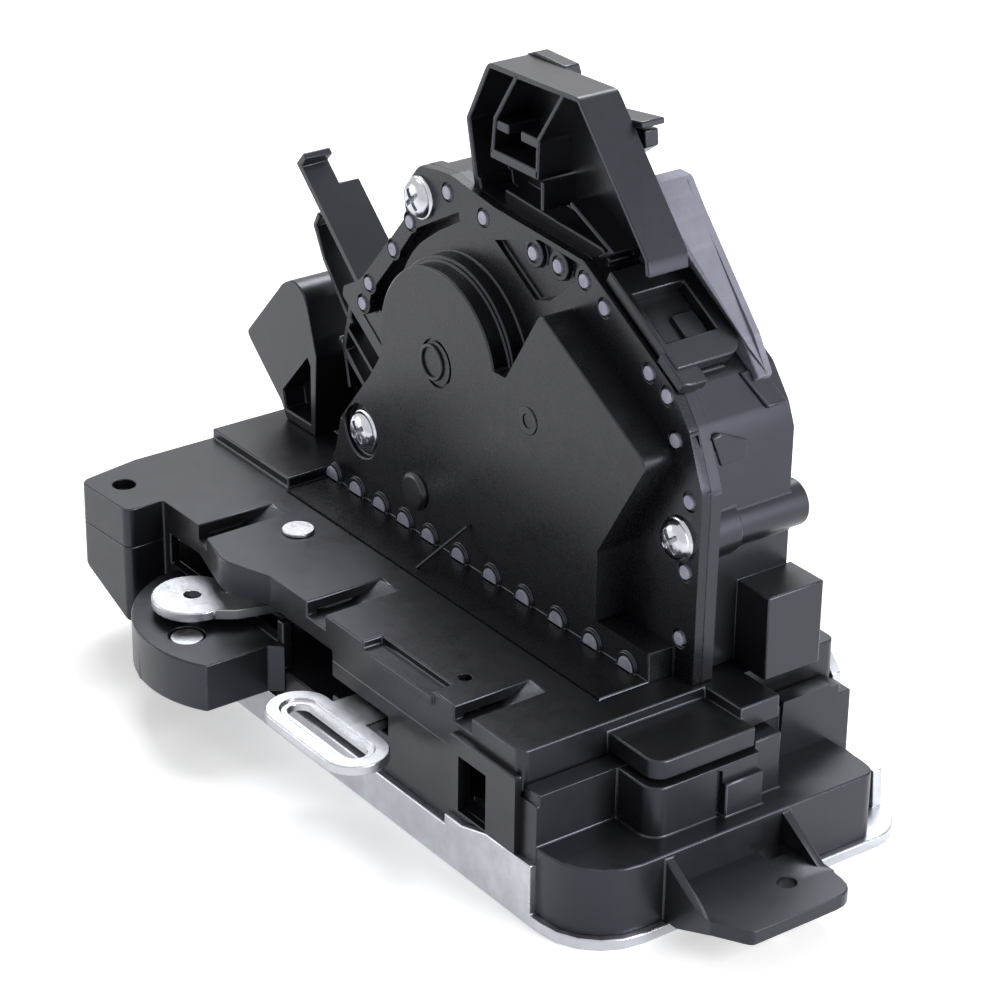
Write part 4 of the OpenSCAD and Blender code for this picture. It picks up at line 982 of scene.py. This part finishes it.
class LATCH_OT_drive(LatchPiece, bpy.types.Operator):
    """The motor, worm, wheel and lock lever behind the cover"""
    bl_idname = "latch.drive"
    bl_label = "Lock drive"

    def execute(self, context):
        for face, nodes in (
                ("gear acetal", ("worm", "worm_wheel")),
                ("turned pin", ("wheel_axle", "motor_shaft", "lock_lever_pin")),
                ("contact brass", ("motor_terminals", "contact_strips")),
                ("motor can", ("motor_can",)),
                ("moulded black", ("motor_end_cap", "lock_switch")),
                ("lever zinc", ("lock_lever",)),
                ("red plunger", ("lock_plunger",))):
            for node in nodes:
                paint(node, face)
        return {"FINISHED"}


class LATCH_OT_connector(LatchPiece, bpy.types.Operator):
    """The connector at the left, the clip beside it and the grained case behind the hood"""
    bl_idname = "latch.connector"
    bl_label = "Connector, clip and rear case"

    def execute(self, context):
        edge = context.scene.latch_sizes.moulded_edge
        dress("connector_body", edge, "moulded black", "moulded edge")
        dress("harness_clip", edge, "moulded black", "moulded edge")
        dress("rear_case", edge, "grainy black")
        paint("connector_pins", "contact brass")
        return {"FINISHED"}


# The studio
# Place and turn of the camera, as fitted to the photo
CAMERA_PLACE = at_mm(424.7, -329.3, 323.8)
CAMERA_AZIMUTH, CAMERA_ELEVATION, CAMERA_ROLL = (math.radians(a) for a in (53.4, 26.4, -0.87))
# Width of the camera's sensor in millimetres, and the nearest that it sees in metres
SENSOR_WIDTH, NEAREST = 36.0, 0.01
# What the lamps are turned to
LOOK_AT = at_mm(-20.0, -5.0, 55.0)
FLOOR_COLOUR, FLOOR_ROUGHNESS, FLOOR_SHINE = (0.86, 0.86, 0.87, 1.0), 0.9, 0.1
FLOOR_GAP, FLOOR_GLOW, FLOOR_CELLS = 0.1 * MM, 0.5, 8
WHITE = (1.0, 1.0, 1.0, 1.0)
# Place and size in metres of each lamp, and the setting that holds its power
LAMPS = {
    "key lamp": ((-0.45, 0.3, 0.75), (0.6, 0.4), "key_power"),
    "side lamp": ((0.75, 0.25, 0.35), (0.4, 0.6), "side_power"),
    "front lamp": ((-0.55, -0.45, 0.12), (0.3, 0.3), "front_power"),
}


def seen_directly(tree):
    """1 for the rays by which the background itself shows: straight, in a gloss or through glass."""
    path = put(tree, "ShaderNodeLightPath").outputs
    shown = work_out(tree, "MAXIMUM", path["Is Camera Ray"], path["Is Glossy Ray"])
    return work_out(tree, "MAXIMUM", shown, path["Is Transmission Ray"])


def add_floor(size):
    data = bmesh.new()
    bmesh.ops.create_grid(data, x_segments=FLOOR_CELLS, y_segments=FLOOR_CELLS, size=size / 2)
    floor = add_object("floor", data)
    floor.location.z = CAD_BOX[0][2] - FLOOR_GAP
    material, tree, shader = new_material("floor")
    shader.inputs["Base Color"].default_value = FLOOR_COLOUR
    shader.inputs["Roughness"].default_value = FLOOR_ROUGHNESS
    shader.inputs["Specular IOR Level"].default_value = FLOOR_SHINE
    shader.inputs["Emission Color"].default_value = WHITE
    glow = work_out(tree, "MULTIPLY", seen_directly(tree), FLOOR_GLOW)
    tree.links.new(glow, shader.inputs["Emission Strength"])
    floor.data.materials.append(material)


def add_world(fill_level):
    world = bpy.data.worlds.new("studio")
    world.use_nodes = True
    tree = world.node_tree
    background = tree.nodes["Background"]
    background.inputs["Color"].default_value = WHITE
    strength = remap(tree, seen_directly(tree), (0.0, 1.0), (fill_level, 1.0))
    tree.links.new(strength, background.inputs["Strength"])
    bpy.context.scene.world = world


def add_lamp(name, place, size, power):
    lamp = bpy.data.lights.new(name, "AREA")
    lamp.shape = "RECTANGLE"
    lamp.size, lamp.size_y = size
    lamp.energy = power
    holder = bpy.data.objects.new(name, lamp)
    holder.location = place
    holder.rotation_euler = (LOOK_AT - Vector(place)).to_track_quat("-Z", "Y").to_euler()
    bpy.context.scene.collection.objects.link(holder)


def camera_matrix():
    azimuth, elevation, roll = CAMERA_AZIMUTH, CAMERA_ELEVATION, CAMERA_ROLL
    back = Vector((math.sin(azimuth) * math.cos(elevation),
                   -math.cos(azimuth) * math.cos(elevation), math.sin(elevation)))
    right = Vector((math.cos(azimuth), math.sin(azimuth), 0.0))
    up = back.cross(right)
    rolled_right = right * math.cos(roll) - up * math.sin(roll)
    rolled_up = right * math.sin(roll) + up * math.cos(roll)
    turn = Matrix((rolled_right, rolled_up, back)).transposed().to_4x4()
    return Matrix.Translation(CAMERA_PLACE) @ turn


def add_camera(lens):
    camera = bpy.data.cameras.new("camera")
    camera.sensor_width = SENSOR_WIDTH
    camera.lens = lens
    camera.clip_start = NEAREST
    holder = bpy.data.objects.new("camera", camera)
    holder.matrix_world = camera_matrix()
    bpy.context.scene.collection.objects.link(holder)
    bpy.context.scene.camera = holder


class LATCH_OT_stage(LatchPiece, bpy.types.Operator):
    """The floor, the lamps, the light from all round and the camera"""
    bl_idname = "latch.stage"
    bl_label = "Studio"

    def execute(self, context):
        studio = context.scene.latch_studio
        add_floor(studio.floor_size)
        add_world(studio.fill_level)
        for name, (place, size, power) in LAMPS.items():
            add_lamp(name, place, size, getattr(studio, power))
        add_camera(studio.lens)
        context.scene.view_settings.view_transform = "Standard"
        return {"FINISHED"}


OPERATORS = (LATCH_OT_plate, LATCH_OT_base, LATCH_OT_levers, LATCH_OT_catch, LATCH_OT_actuator,
             LATCH_OT_fasteners, LATCH_OT_drive, LATCH_OT_connector, LATCH_OT_stage)


class LATCH_PT_panel(bpy.types.Panel):
    """The settings and the operators, in the sidebar"""
    bl_idname = "LATCH_PT_panel"
    bl_label = "Door latch"
    bl_space_type = "VIEW_3D"
    bl_region_type = "UI"
    bl_category = "Door latch"

    def draw(self, context):
        for settings in (context.scene.latch_sizes, context.scene.latch_colours,
                         context.scene.latch_studio):
            box = self.layout.box()
            for name in settings.bl_rna.properties.keys():
                if name not in ("name", "rna_type"):
                    box.prop(settings, name)
        for operator in OPERATORS:
            self.layout.operator(operator.bl_idname, text=operator.bl_label)


SETTINGS = {"latch_sizes": LatchSizes, "latch_colours": LatchColours, "latch_studio": LatchStudio}


def register():
    for settings in SETTINGS.values():
        bpy.utils.register_class(settings)
    for name, settings in SETTINGS.items():
        setattr(bpy.types.Scene, name, PointerProperty(type=settings))
    for operator in OPERATORS:
        bpy.utils.register_class(operator)
    bpy.utils.register_class(LATCH_PT_panel)


def unregister():
    bpy.utils.unregister_class(LATCH_PT_panel)
    for operator in reversed(OPERATORS):
        bpy.utils.unregister_class(operator)
    for name in SETTINGS:
        delattr(bpy.types.Scene, name)
    for settings in reversed(SETTINGS.values()):
        bpy.utils.unregister_class(settings)


def main():
    register()
    for operator in OPERATORS:
        group, name = operator.bl_idname.split(".")
        getattr(getattr(bpy.ops, group), name)()
    bpy.context.view_layer.update()


if __name__ == "__main__":
    main()
